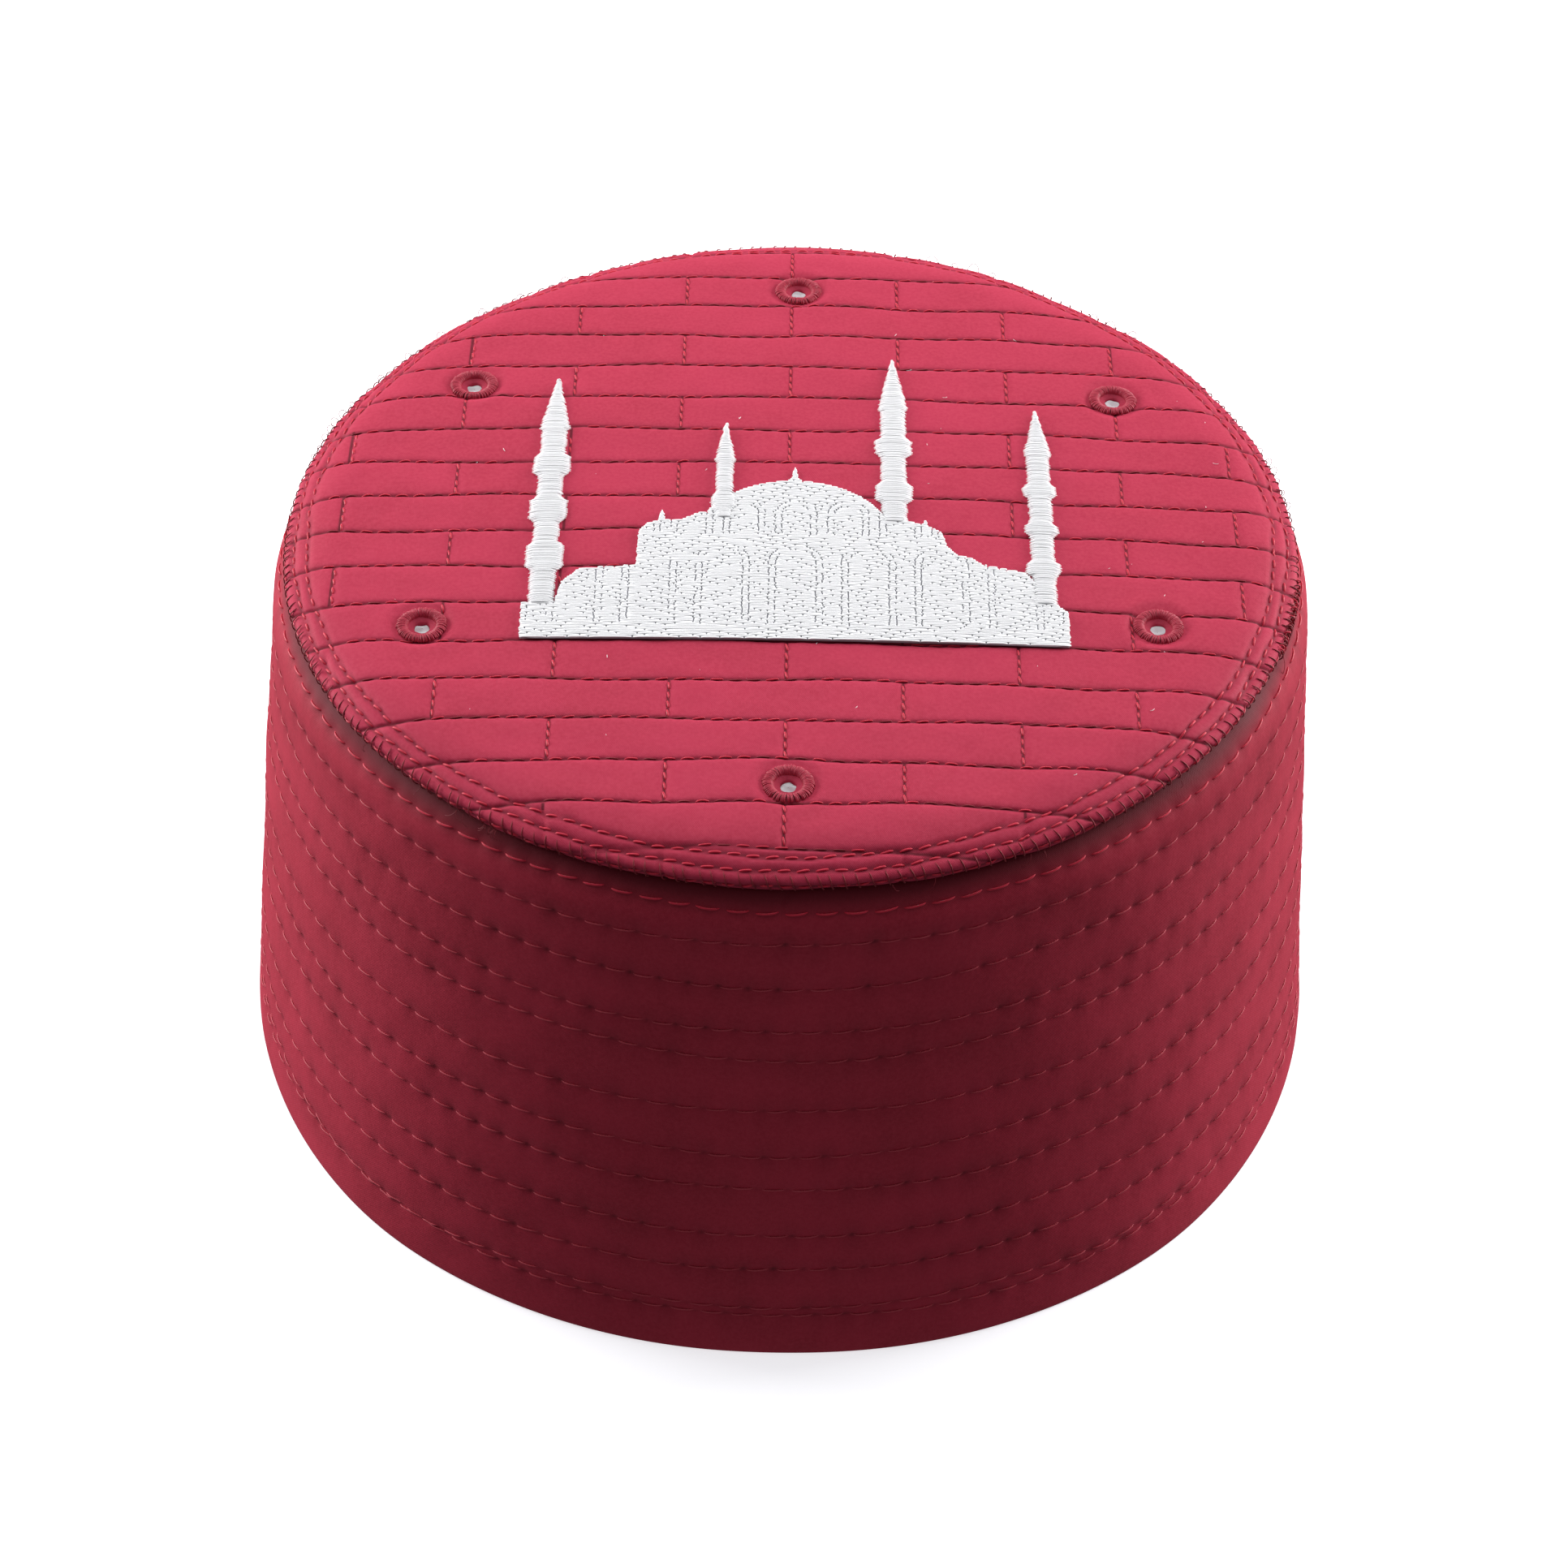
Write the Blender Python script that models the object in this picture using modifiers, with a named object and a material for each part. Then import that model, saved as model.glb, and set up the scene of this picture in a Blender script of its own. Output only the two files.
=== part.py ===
"""Turban cap: a short, stiff, round cap with a quilted crown, a stitched side wall and an embroidered crown.

Metres, +Z up. The origin is the centre of the hem, on the surface that the cap stands on. -Y is the front.
Lengths that belong to a table are shares of the named sizes that the table follows.
"""
import math
from collections import namedtuple

import bmesh
import bpy
from mathutils import Vector

# Side wall
HEM_RADIUS = 0.0965
SHOULDER_RADIUS = 0.0893
SHOULDER_HEIGHT = 0.0884
WALL_THICKNESS = 0.0026
WALL_PUFF = 0.0005
STITCH_GROOVE_WIDTH = 0.0020
HEM_ROUNDING = 0.0006
SHOULDER_TUCK = 0.0013
FLANGE_WIDTH = 0.0065

# Crown panel
CROWN_RADIUS = 0.0862
CROWN_HEIGHT = 0.1053
CROWN_RISE = 0.0022
CROWN_THICKNESS = 0.0046
LIP_WIDTH = 0.0110
LIP_DROP = 0.0028
LIP_UNDERCUT = 0.0013
LIP_ROUNDNESS = 2.2

# Brick quilting
BRICK_PITCH = 0.0095
BRICK_LENGTH = 0.0380
QUILT_GROOVE = 0.0009
RING_STITCH_INSET = 0.0042
RING_STITCH_DEPTH = 0.0005

# Eyelets
EYELET_EDGE_DISTANCE = 0.0192
EYELET_RADIUS = 0.0041
EYELET_RING_WIDTH = 0.0017
EYELET_RING_HEIGHT = 0.0011
EYELET_HOLE_RADIUS = 0.0015
EYELET_SINK = 0.0008

# Mosque embroidery
MOSQUE_WIDTH = 0.0908
MOSQUE_HEIGHT = 0.0776
MOSQUE_FOOT_Y = -0.0334
MOSQUE_OFFSET_X = 0.0013
MOSQUE_THICKNESS = 0.0009
PRISM_HEIGHT = 0.0600

# Lining that shows through the eyelets
LINING_CLEARANCE = 0.0031
LINING_THICKNESS = 0.0010

SEAM_GAP = 0.0003

# Sides of the turned pieces, and the turns in degrees at which the shoulder's curve has its points
ROUND_SIDES = 48
LINING_SIDES = 40
EYELET_SIDES = 12
HOLE_SIDES = 10
SHOULDER_TURNS = (90, 62, 38, 16)
INNER_SHOULDER_TURNS = (48, 90)
WELD_DISTANCE = 0.000002

# Heights of the wall's stitch rows below the shoulder, as shares of the shoulder's height
StitchRow = namedtuple("StitchRow", "height")
STITCH_ROWS = [StitchRow(share) for share in
               (0.101, 0.127, 0.218, 0.305, 0.425, 0.511, 0.613, 0.739, 0.809, 0.910)]

# Where the eyelets sit on their circle, in degrees from +X
Eyelet = namedtuple("Eyelet", "name angle")
EYELETS = [
    Eyelet("eyelet_back", 89.0),
    Eyelet("eyelet_back_left", 146.5),
    Eyelet("eyelet_front_left", 206.0),
    Eyelet("eyelet_front", 270.5),
    Eyelet("eyelet_front_right", 336.5),
    Eyelet("eyelet_back_right", 32.0),
]

# The eyelet ring's section: shares of the ring's width, from its inner side, and of its height
SectionPoint = namedtuple("SectionPoint", "across up")
EYELET_SECTION = [
    SectionPoint(0.50, 1.00),
    SectionPoint(0.85, 0.75),
    SectionPoint(1.00, 0.30),
    SectionPoint(1.00, 0.00),
    SectionPoint(0.00, 0.00),
    SectionPoint(0.00, 0.30),
    SectionPoint(0.15, 0.75),
]

# Minarets. axis and the widths are shares of the mosque's width, foot and tip shares of its height
Minaret = namedtuple("Minaret", "axis foot tip shaft balcony cone balconies")
# Balconies. low and high are shares of the mosque's height
Balcony = namedtuple("Balcony", "low high")
MINARETS = [
    Minaret(0.036, 0.10, 0.914, 0.047, 0.077, 0.187,
            [Balcony(0.228, 0.312), Balcony(0.393, 0.470), Balcony(0.558, 0.626)]),
    Minaret(0.364, 0.36, 0.748, 0.033, 0.052, 0.139,
            [Balcony(0.436, 0.484)]),
    Minaret(0.683, 0.36, 1.000, 0.048, 0.075, 0.190,
            [Balcony(0.472, 0.534), Balcony(0.639, 0.698)]),
    Minaret(0.957, 0.10, 0.817, 0.044, 0.069, 0.161,
            [Balcony(0.233, 0.276), Balcony(0.371, 0.405), Balcony(0.506, 0.545)]),
]

# The slope above and below a balcony, as a share of the mosque's height
BALCONY_SLOPE = 0.008

# A minaret's pointed roof: up is a share of the cone's height, out of the shaft's half width
ConePoint = namedtuple("ConePoint", "up out")
CONE_POINTS = [ConePoint(0.0, 1.2), ConePoint(0.45, 0.72), ConePoint(1.0, 0.1)]

# The roof line from the left end of the base to the right: shares of the mosque's width and height
RoofPoint = namedtuple("RoofPoint", "x y")
ROOF_LINE = [
    RoofPoint(0.000, 0.000), RoofPoint(0.000, 0.113), RoofPoint(0.060, 0.120), RoofPoint(0.070, 0.182),
    RoofPoint(0.100, 0.226), RoofPoint(0.205, 0.238), RoofPoint(0.206, 0.355), RoofPoint(0.222, 0.382),
    RoofPoint(0.252, 0.396), RoofPoint(0.285, 0.396), RoofPoint(0.318, 0.421),
    RoofPoint(0.705, 0.404), RoofPoint(0.745, 0.390), RoofPoint(0.772, 0.366), RoofPoint(0.780, 0.323),
    RoofPoint(0.798, 0.290), RoofPoint(0.825, 0.281), RoofPoint(0.845, 0.260), RoofPoint(0.925, 0.236),
    RoofPoint(0.975, 0.140), RoofPoint(1.000, 0.108), RoofPoint(1.000, 0.000),
]

# The main dome: its axis and half span are shares of the width, its foot and top shares of the height
Dome = namedtuple("Dome", "axis half_span foot top")
MAIN_DOME = Dome(0.497, 0.180, 0.350, 0.537)
DOME_STEPS = 14

# Finials: triangles on the roofs, in the same shares
Finial = namedtuple("Finial", "axis half_width foot tip")
FINIALS = [
    Finial(0.497, 0.026, 0.525, 0.556),
    Finial(0.497, 0.008, 0.540, 0.606),
    Finial(0.250, 0.009, 0.385, 0.443),
    Finial(0.740, 0.009, 0.380, 0.414),
]

# Colour, roughness and metallic value of each finish
Finish = namedtuple("Finish", "colour roughness metallic")
FINISHES = {
    "crown_cloth": Finish((0.34, 0.022, 0.045), 0.62, 0.0),
    "wall_cloth": Finish((0.30, 0.016, 0.032), 0.58, 0.0),
    "red_thread": Finish((0.28, 0.012, 0.026), 0.45, 0.0),
    "white_thread": Finish((0.90, 0.90, 0.92), 0.40, 0.0),
    "lining_cloth": Finish((0.78, 0.78, 0.80), 0.85, 0.0),
}


def clear_scene():
    for old in list(bpy.data.objects):
        bpy.data.objects.remove(old)


def make_collection(name):
    collection = bpy.data.collections.new(name)
    bpy.context.scene.collection.children.link(collection)
    return collection


def make_material(name):
    finish = FINISHES[name]
    material = bpy.data.materials.new(name)
    material.use_nodes = True
    shader = material.node_tree.nodes["Principled BSDF"]
    shader.inputs["Base Color"].default_value = (*finish.colour, 1.0)
    shader.inputs["Roughness"].default_value = finish.roughness
    shader.inputs["Metallic"].default_value = finish.metallic
    return material


def add_object(name, mesh, collection, material=None):
    piece = bpy.data.objects.new(name, mesh)
    collection.objects.link(piece)
    if material:
        mesh.materials.clear()
        mesh.materials.append(material)
    return piece


def hide_cutter(cutter):
    cutter.hide_render = True
    cutter.display_type = "WIRE"


def turned(name, profile, collection, material=None, sides=ROUND_SIDES):
    """A ring turned about Z from a closed profile of (radius, height) points, down its outer side first."""
    mesh = bpy.data.meshes.new(name)
    points = [(radius, 0.0, height) for radius, height in profile]
    edges = [(index, (index + 1) % len(points)) for index in range(len(points))]
    mesh.from_pydata(points, edges, [])
    piece = add_object(name, mesh, collection, material)
    add_screw(piece, sides)
    return piece


def turned_disc(name, profile, collection, material=None, sides=ROUND_SIDES):
    """A disc turned about Z from an open profile that starts and ends on the axis."""
    mesh = bpy.data.meshes.new(name)
    points = [(radius, 0.0, height) for radius, height in profile]
    edges = [(index, index + 1) for index in range(len(points) - 1)]
    mesh.from_pydata(points, edges, [])
    piece = add_object(name, mesh, collection, material)
    add_screw(piece, sides)
    return piece


def add_screw(piece, sides):
    screw = piece.modifiers.new("turn", "SCREW")
    screw.axis = "Z"
    screw.angle = math.tau
    screw.steps = sides
    screw.render_steps = sides
    screw.use_merge_vertices = True
    screw.merge_threshold = WELD_DISTANCE
    screw.use_smooth_shade = True


def curve_to_cutter(name, curve, collection, lift=0.0):
    """A closed mesh from a curve, its caps welded on, raised by lift and kept out of the render."""
    guide = bpy.data.objects.new(name, curve)
    collection.objects.link(guide)
    graph = bpy.context.evaluated_depsgraph_get()
    mesh = bpy.data.meshes.new_from_object(guide.evaluated_get(graph))
    bpy.data.objects.remove(guide)
    form = bmesh.new()
    form.from_mesh(mesh)
    bmesh.ops.remove_doubles(form, verts=form.verts, dist=WELD_DISTANCE)
    bmesh.ops.recalc_face_normals(form, faces=form.faces)
    bmesh.ops.translate(form, verts=form.verts, vec=(0.0, 0.0, lift))
    form.to_mesh(mesh)
    form.free()
    cutter = add_object(name, mesh, collection)
    hide_cutter(cutter)
    return cutter


def add_boolean(piece, cutter, operation):
    boolean = piece.modifiers.new(operation.lower(), "BOOLEAN")
    boolean.operation = operation
    boolean.solver = "EXACT"
    boolean.object = cutter


def spread(first, last, count):
    """count + 1 evenly spaced values from first to last."""
    return [first + (last - first) * index / count for index in range(count + 1)]


def midway(first, last):
    return (first + last) / 2


# Forms of the crown that its neighbours follow

def dome_height(radius):
    """Height of the crown's top before its lip falls away."""
    return CROWN_HEIGHT - CROWN_RISE * (radius / CROWN_RADIUS) ** 2


def crown_top(radius):
    fall = max(0.0, radius - lip_start_radius()) / LIP_WIDTH
    return dome_height(radius) - LIP_DROP * fall ** LIP_ROUNDNESS


def crown_underside(radius):
    return dome_height(radius) - CROWN_THICKNESS


def lip_start_radius():
    return CROWN_RADIUS - LIP_WIDTH


def ring_stitch_radius():
    return CROWN_RADIUS - RING_STITCH_INSET


# Side wall

def wall_base_radius(height):
    """Outer radius of the plain wall below the shoulder."""
    return HEM_RADIUS + (SHOULDER_RADIUS - HEM_RADIUS) * height / SHOULDER_HEIGHT


def shoulder_top_radius():
    """Radius at which the shoulder meets the crown's underside, a little inside the lip's lower edge."""
    return CROWN_RADIUS - LIP_UNDERCUT - SHOULDER_TUCK


def shoulder_point(turn, inset=0.0):
    """A point on the shoulder's quarter ellipse, from its widest place (0) to the flange (90 degrees)."""
    centre = shoulder_top_radius()
    top = crown_underside(centre) - SEAM_GAP
    across = SHOULDER_RADIUS - centre - inset
    rise = top - SHOULDER_HEIGHT - inset
    angle = math.radians(turn)
    return centre + across * math.cos(angle), SHOULDER_HEIGHT + rise * math.sin(angle)


def flange_inner_radius():
    return shoulder_top_radius() - FLANGE_WIDTH


def wall_profile():
    flange_inner = flange_inner_radius()
    flange_top = crown_underside(flange_inner) - SEAM_GAP
    profile = [(flange_inner, flange_top)]
    profile += [shoulder_point(turn) for turn in SHOULDER_TURNS]
    half_groove = STITCH_GROOVE_WIDTH / 2
    for row in reversed(STITCH_ROWS):
        middle = row.height * SHOULDER_HEIGHT
        for offset, sunk in ((half_groove, 0.0), (0.0, WALL_PUFF), (-half_groove, 0.0)):
            height = middle + offset
            if height < profile[-1][1]:
                profile.append((wall_base_radius(height) - sunk, height))
    hem_inner = HEM_RADIUS - WALL_THICKNESS
    profile += [
        (HEM_RADIUS, HEM_ROUNDING),
        (HEM_RADIUS - HEM_ROUNDING, 0.0),
        (hem_inner + HEM_ROUNDING, 0.0),
        (hem_inner, HEM_ROUNDING),
        (SHOULDER_RADIUS - WALL_THICKNESS, SHOULDER_HEIGHT),
    ]
    profile += [shoulder_point(turn, WALL_THICKNESS) for turn in INNER_SHOULDER_TURNS]
    profile.append((flange_inner, flange_top - WALL_THICKNESS))
    return profile


def build_side_wall(collection):
    turned("side_wall", wall_profile(), collection, make_material("wall_cloth"))


# Crown

def crown_profile():
    lip_start = lip_start_radius()
    ring = ring_stitch_radius()
    bottom_radius = CROWN_RADIUS - LIP_UNDERCUT
    top_radii = [
        0.0,
        lip_start * 0.45,
        lip_start * 0.75,
        lip_start,
        midway(lip_start, ring),
        ring - QUILT_GROOVE,
        ring,
        ring + QUILT_GROOVE,
        midway(ring + QUILT_GROOVE, CROWN_RADIUS),
        CROWN_RADIUS,
    ]
    profile = []
    for radius in top_radii:
        sunk = RING_STITCH_DEPTH if radius == ring else 0.0
        profile.append((radius, crown_top(radius) - sunk))
    profile.append((CROWN_RADIUS, midway(crown_top(CROWN_RADIUS), crown_underside(CROWN_RADIUS))))
    for radius in (bottom_radius, lip_start, lip_start * 0.6, 0.0):
        profile.append((radius, crown_underside(radius)))
    return profile


def brick_lines():
    """Ends of every row line and of every brick joint on the crown, as pairs of (x, y) points."""
    reach = ring_stitch_radius() - QUILT_GROOVE / 2
    clear = QUILT_GROOVE * 1.2
    lines = []
    rows = int(reach / BRICK_PITCH) + 1
    columns = int(2 * reach / BRICK_LENGTH) + 2
    for row in range(-rows, rows + 1):
        edge_y = (row + 0.5) * BRICK_PITCH
        if abs(edge_y) < reach - QUILT_GROOVE / 2:
            half = math.sqrt(reach ** 2 - edge_y ** 2)
            lines.append(((-half, edge_y), (half, edge_y)))
        low = (row - 0.5) * BRICK_PITCH + clear
        high = (row + 0.5) * BRICK_PITCH - clear
        for column in range(-columns, columns + 1):
            x = column * BRICK_LENGTH / 2
            inside = math.hypot(x, max(abs(low), abs(high))) < reach - clear
            if (row + column) % 2 == 0 and inside:
                lines.append(((x, low), (x, high)))
    return lines


def quilt_cutter(collection):
    """Thin four-sided tubes along the quilting lines on the dome: their lower halves cut the grooves."""
    curve = bpy.data.curves.new("quilt_lines", "CURVE")
    curve.dimensions = "3D"
    curve.bevel_depth = QUILT_GROOVE
    curve.bevel_resolution = 0
    curve.use_fill_caps = True
    for start, end in brick_lines():
        spans = max(1, round(math.dist(start, end) / BRICK_LENGTH))
        spline = curve.splines.new("POLY")
        spline.points.add(spans)
        across = spread(start[0], end[0], spans)
        along = spread(start[1], end[1], spans)
        for point, x, y in zip(spline.points, across, along):
            point.co = (x, y, crown_top(math.hypot(x, y)), 1.0)
    return curve_to_cutter("quilt_lines", curve, collection)


def round_cutter(name, place, radius, depth, sides, collection):
    """A cylinder through the crown's top at place, standing along the crown's normal there."""
    mesh = bpy.data.meshes.new(name)
    form = bmesh.new()
    bmesh.ops.create_cone(form, cap_ends=True, segments=sides, radius1=radius, radius2=radius, depth=depth)
    form.to_mesh(mesh)
    form.free()
    cutter = add_object(name, mesh, collection)
    cutter.location = place
    cutter.rotation_euler = crown_tilt(place).to_euler()
    hide_cutter(cutter)
    return cutter


def crown_tilt(place):
    """Rotation from +Z to the dome's normal at a place on it."""
    slope = 2.0 * CROWN_RISE / CROWN_RADIUS ** 2
    normal = Vector((place[0] * slope, place[1] * slope, 1.0))
    return Vector((0.0, 0.0, 1.0)).rotation_difference(normal)


def eyelet_place(eyelet):
    angle = math.radians(eyelet.angle)
    radius = CROWN_RADIUS - EYELET_EDGE_DISTANCE
    return Vector((radius * math.cos(angle), radius * math.sin(angle), crown_top(radius)))


def build_crown(collection, cutters):
    crown = turned_disc("crown", crown_profile(), collection, make_material("crown_cloth"))
    add_boolean(crown, quilt_cutter(cutters), "DIFFERENCE")
    seat_radius = EYELET_RADIUS + SEAM_GAP
    seat_depth = 2 * (EYELET_SINK + SEAM_GAP)
    hole_depth = 3 * CROWN_THICKNESS
    for eyelet in EYELETS:
        place = eyelet_place(eyelet)
        seat = round_cutter(eyelet.name + "_seat", place, seat_radius, seat_depth, EYELET_SIDES, cutters)
        hole = round_cutter(eyelet.name + "_hole", place, EYELET_HOLE_RADIUS, hole_depth, HOLE_SIDES, cutters)
        add_boolean(crown, seat, "DIFFERENCE")
        add_boolean(crown, hole, "DIFFERENCE")


# Eyelets

def eyelet_profile():
    """A rounded flat ring of thread, its underside at height 0, worked out from its section's own table."""
    inner = EYELET_RADIUS - EYELET_RING_WIDTH
    width = EYELET_RING_WIDTH
    return [(inner + point.across * width, point.up * EYELET_RING_HEIGHT) for point in EYELET_SECTION]


def build_eyelets(collection):
    material = make_material("red_thread")
    for eyelet in EYELETS:
        ring = turned(eyelet.name, eyelet_profile(), collection, material, sides=EYELET_SIDES)
        place = eyelet_place(eyelet)
        tilt = crown_tilt(place)
        ring.location = place + tilt @ Vector((0.0, 0.0, -EYELET_SINK))
        ring.rotation_euler = tilt.to_euler()


# Mosque embroidery

def mosque_point(x, y):
    """The crown's x and y of a point given in shares of the mosque's width and height."""
    return MOSQUE_OFFSET_X + (x - 0.5) * MOSQUE_WIDTH, MOSQUE_FOOT_Y + y * MOSQUE_HEIGHT


def minaret_outline(minaret):
    """Half of the minaret's outline from foot to tip, then the other half back down."""
    half = minaret.shaft / 2
    wide = minaret.balcony / 2
    right = [(half, minaret.foot)]
    for balcony in minaret.balconies:
        right += [
            (half, balcony.low - BALCONY_SLOPE),
            (wide, balcony.low + BALCONY_SLOPE),
            (wide, balcony.high - BALCONY_SLOPE),
            (half, balcony.high + BALCONY_SLOPE),
        ]
    cone_foot = minaret.tip - minaret.cone
    right.append((half, cone_foot - BALCONY_SLOPE))
    right += [(half * point.out, cone_foot + minaret.cone * point.up) for point in CONE_POINTS]
    left = [(-x, y) for x, y in reversed(right)]
    return [(minaret.axis + x, y) for x, y in right + left]


def dome_outline(dome):
    points = []
    for angle in spread(0.0, math.pi, DOME_STEPS):
        x = dome.axis + dome.half_span * math.cos(angle)
        y = dome.foot + (dome.top - dome.foot) * math.sin(angle)
        points.append((x, y))
    return points


def finial_outline(finial):
    return [
        (finial.axis - finial.half_width, finial.foot),
        (finial.axis + finial.half_width, finial.foot),
        (finial.axis, finial.tip),
    ]


def prism(name, outline, height, collection):
    """An upright prism about the crown's top, from a flat outline in shares of the mosque."""
    curve = bpy.data.curves.new(name, "CURVE")
    curve.dimensions = "2D"
    curve.fill_mode = "BOTH"
    curve.extrude = height / 2
    spline = curve.splines.new("POLY")
    spline.points.add(len(outline) - 1)
    spline.use_cyclic_u = True
    for point, share in zip(spline.points, outline):
        point.co = (*mosque_point(*share), 0.0, 1.0)
    return curve_to_cutter(name, curve, collection, lift=CROWN_HEIGHT)


def domed_layer(name, radii, low, high, collection, material, sides):
    """A thin layer parallel to the crown's dome, from low to high above it."""
    profile = [(radius, dome_height(radius) + high) for radius in radii]
    profile += [(radius, dome_height(radius) + low) for radius in reversed(radii)]
    return turned_disc(name, profile, collection, material, sides)


def build_mosque(collection, cutters):
    """The figure's outline is joined from upright prisms and cut out of a thin domed layer."""
    roof = [(point.x, point.y) for point in reversed(ROOF_LINE)]
    outlines = [roof, dome_outline(MAIN_DOME)]
    outlines += [minaret_outline(minaret) for minaret in MINARETS]
    outlines += [finial_outline(finial) for finial in FINIALS]
    prisms = []
    for index, outline in enumerate(outlines):
        # Each prism is a little lower than the last, so that no two have faces in one plane
        height = PRISM_HEIGHT * (1.0 - 0.03 * index)
        prisms.append(prism(f"mosque_prism_{index}", outline, height, cutters))
    for part in prisms[1:]:
        add_boolean(prisms[0], part, "UNION")
    radii = [CROWN_RADIUS * share for share in (0.0, 0.30, 0.60, 0.86)]
    low = SEAM_GAP
    high = SEAM_GAP + MOSQUE_THICKNESS
    material = make_material("white_thread")
    mosque = domed_layer("mosque_embroidery", radii, low, high, collection, material, ROUND_SIDES)
    add_boolean(mosque, prisms[0], "INTERSECT")


# Lining

def build_lining(collection):
    lining_radius = flange_inner_radius() - LINING_CLEARANCE
    radii = [lining_radius * share for share in (0.0, 0.5, 1.0)]
    high = -CROWN_THICKNESS - SEAM_GAP
    low = high - LINING_THICKNESS
    domed_layer("crown_lining", radii, low, high, collection, make_material("lining_cloth"), LINING_SIDES)


def main():
    clear_scene()
    cap = make_collection("turban_cap")
    cutters = make_collection("cutters")
    build_side_wall(cap)
    build_crown(cap, cutters)
    build_eyelets(cap)
    build_mosque(cap, cutters)
    build_lining(cap)


main()
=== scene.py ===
# %% [markdown]
# A turban cap is a short, stiff, round cap that a turban cloth is wound on. This one has a quilted crown
# with an embroidered mosque and six stitched eyelets, and a side wall with rows of running stitches.
# The lesson dresses the cap's plain solids, one piece at a time. Lengths are in metres, +Z is up and
# -Y is the front. It starts by loading the solids and keeping the box that they fill.

# %% Load the cap's solids
import math
from collections import namedtuple

import bpy
import numpy as np
from mathutils import Matrix, Vector


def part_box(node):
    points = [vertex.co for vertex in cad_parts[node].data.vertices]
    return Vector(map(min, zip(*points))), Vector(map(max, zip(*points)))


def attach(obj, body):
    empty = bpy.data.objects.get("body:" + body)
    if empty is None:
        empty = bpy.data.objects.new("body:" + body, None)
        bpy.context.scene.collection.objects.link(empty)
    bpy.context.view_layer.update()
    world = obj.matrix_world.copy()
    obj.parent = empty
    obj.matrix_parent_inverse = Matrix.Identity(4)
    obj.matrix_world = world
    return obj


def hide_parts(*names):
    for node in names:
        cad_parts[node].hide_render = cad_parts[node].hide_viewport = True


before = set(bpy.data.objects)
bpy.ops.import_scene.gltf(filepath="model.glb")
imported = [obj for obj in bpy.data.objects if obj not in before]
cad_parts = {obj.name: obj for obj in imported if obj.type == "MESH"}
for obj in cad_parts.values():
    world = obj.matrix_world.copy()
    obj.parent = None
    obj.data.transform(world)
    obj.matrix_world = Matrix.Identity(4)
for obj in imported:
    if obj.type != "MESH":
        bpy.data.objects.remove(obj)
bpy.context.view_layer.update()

# %% [markdown]
# The sizes that every piece follows are read off the solids, so that cloth and thread land on them.
# The rest are the cap's own: a brick of the quilting is 38 mm by 9.5 mm, and the rolled lip at the
# crown's edge is 11 mm wide.

# %% Sizes of the cap
crown_low, crown_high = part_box("crown")
wall_low, wall_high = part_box("side_wall")
lining_low, lining_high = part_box("crown_lining")

CROWN_RADIUS = crown_high[0]
CROWN_HEIGHT = crown_high[2]
HEM_RADIUS = wall_high[0]
LINING_RADIUS = lining_high[0]
CROWN_RISE = 0.0022
CROWN_THICKNESS = 0.0046
LIP_WIDTH = 0.0110
LIP_DROP = 0.0028
LIP_ROUNDNESS = 2.2
SHOULDER_RADIUS = 0.0893
SHOULDER_HEIGHT = 0.0884
SHOULDER_TOP_RADIUS = CROWN_RADIUS - 0.0026
FLANGE_WIDTH = 0.0065
WALL_THICKNESS = 0.0026
SEAM_GAP = 0.0003
BRICK_PITCH = 0.0095
BRICK_LENGTH = 0.0380
QUILT_RADIUS = 0.0818
WALL_ROWS = [0.085, 0.107, 0.183, 0.256, 0.357, 0.429, 0.515, 0.620, 0.679, 0.764, 0.843, 0.902]
EYELETS = ["back", "back_left", "front_left", "front", "front_right", "back_right"]
MM = 0.001

eyelet_places = []
for eyelet in EYELETS:
    low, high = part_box("eyelet_" + eyelet)
    eyelet_places.append(((low[0] + high[0]) / 2, (low[1] + high[1]) / 2))
EYELET_RADIUS = 0.0041
print("crown", round(CROWN_RADIUS / MM, 1), "mm, hem", round(HEM_RADIUS / MM, 1), "mm in radius")

# %% [markdown]
# Every surface here is a grid or a bundle of fine tubes, so two helpers make all the meshes. The
# points are worked out with numpy, which handles a hundred thousand of them at once, and the faces
# are numbered by rule. Each piece rides on the cap's one body and names the finish that it takes.

# %% Make a piece from points and faces
def make_piece(name, points, faces, material, slot, nodes=(), smooth=True):
    mesh = bpy.data.meshes.new(name)
    mesh.from_pydata(np.asarray(points).tolist(), [], faces)
    mesh.polygons.foreach_set("use_smooth", [smooth] * len(mesh.polygons))
    mesh.materials.append(material)
    mesh.update()
    piece = bpy.data.objects.new(name, mesh)
    bpy.context.scene.collection.objects.link(piece)
    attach(piece, "root")
    if nodes:
        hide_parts(*nodes)
    triangles = sum(len(polygon.vertices) - 2 for polygon in mesh.polygons)
    print(name, "has", triangles, "triangles")
    return piece


def grid_faces(rows, columns, wrap=False, first=0):
    """Four-sided faces of a grid whose points are numbered row by row, closed round if it wraps."""
    row = np.arange(rows - 1)[:, None]
    column = np.arange(columns if wrap else columns - 1)[None, :]
    beside = (column + 1) % columns
    corners = [row * columns + column, row * columns + beside,
               (row + 1) * columns + beside, (row + 1) * columns + column]
    return (np.stack(corners, axis=-1).reshape(-1, 4) + first).tolist()


def add_measure(piece, name, values):
    """A number for each point, which the piece's material can read."""
    attribute = piece.data.attributes.new(name, "FLOAT", "POINT")
    attribute.data.foreach_set("value", np.asarray(values, dtype=np.float32).ravel())


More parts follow.
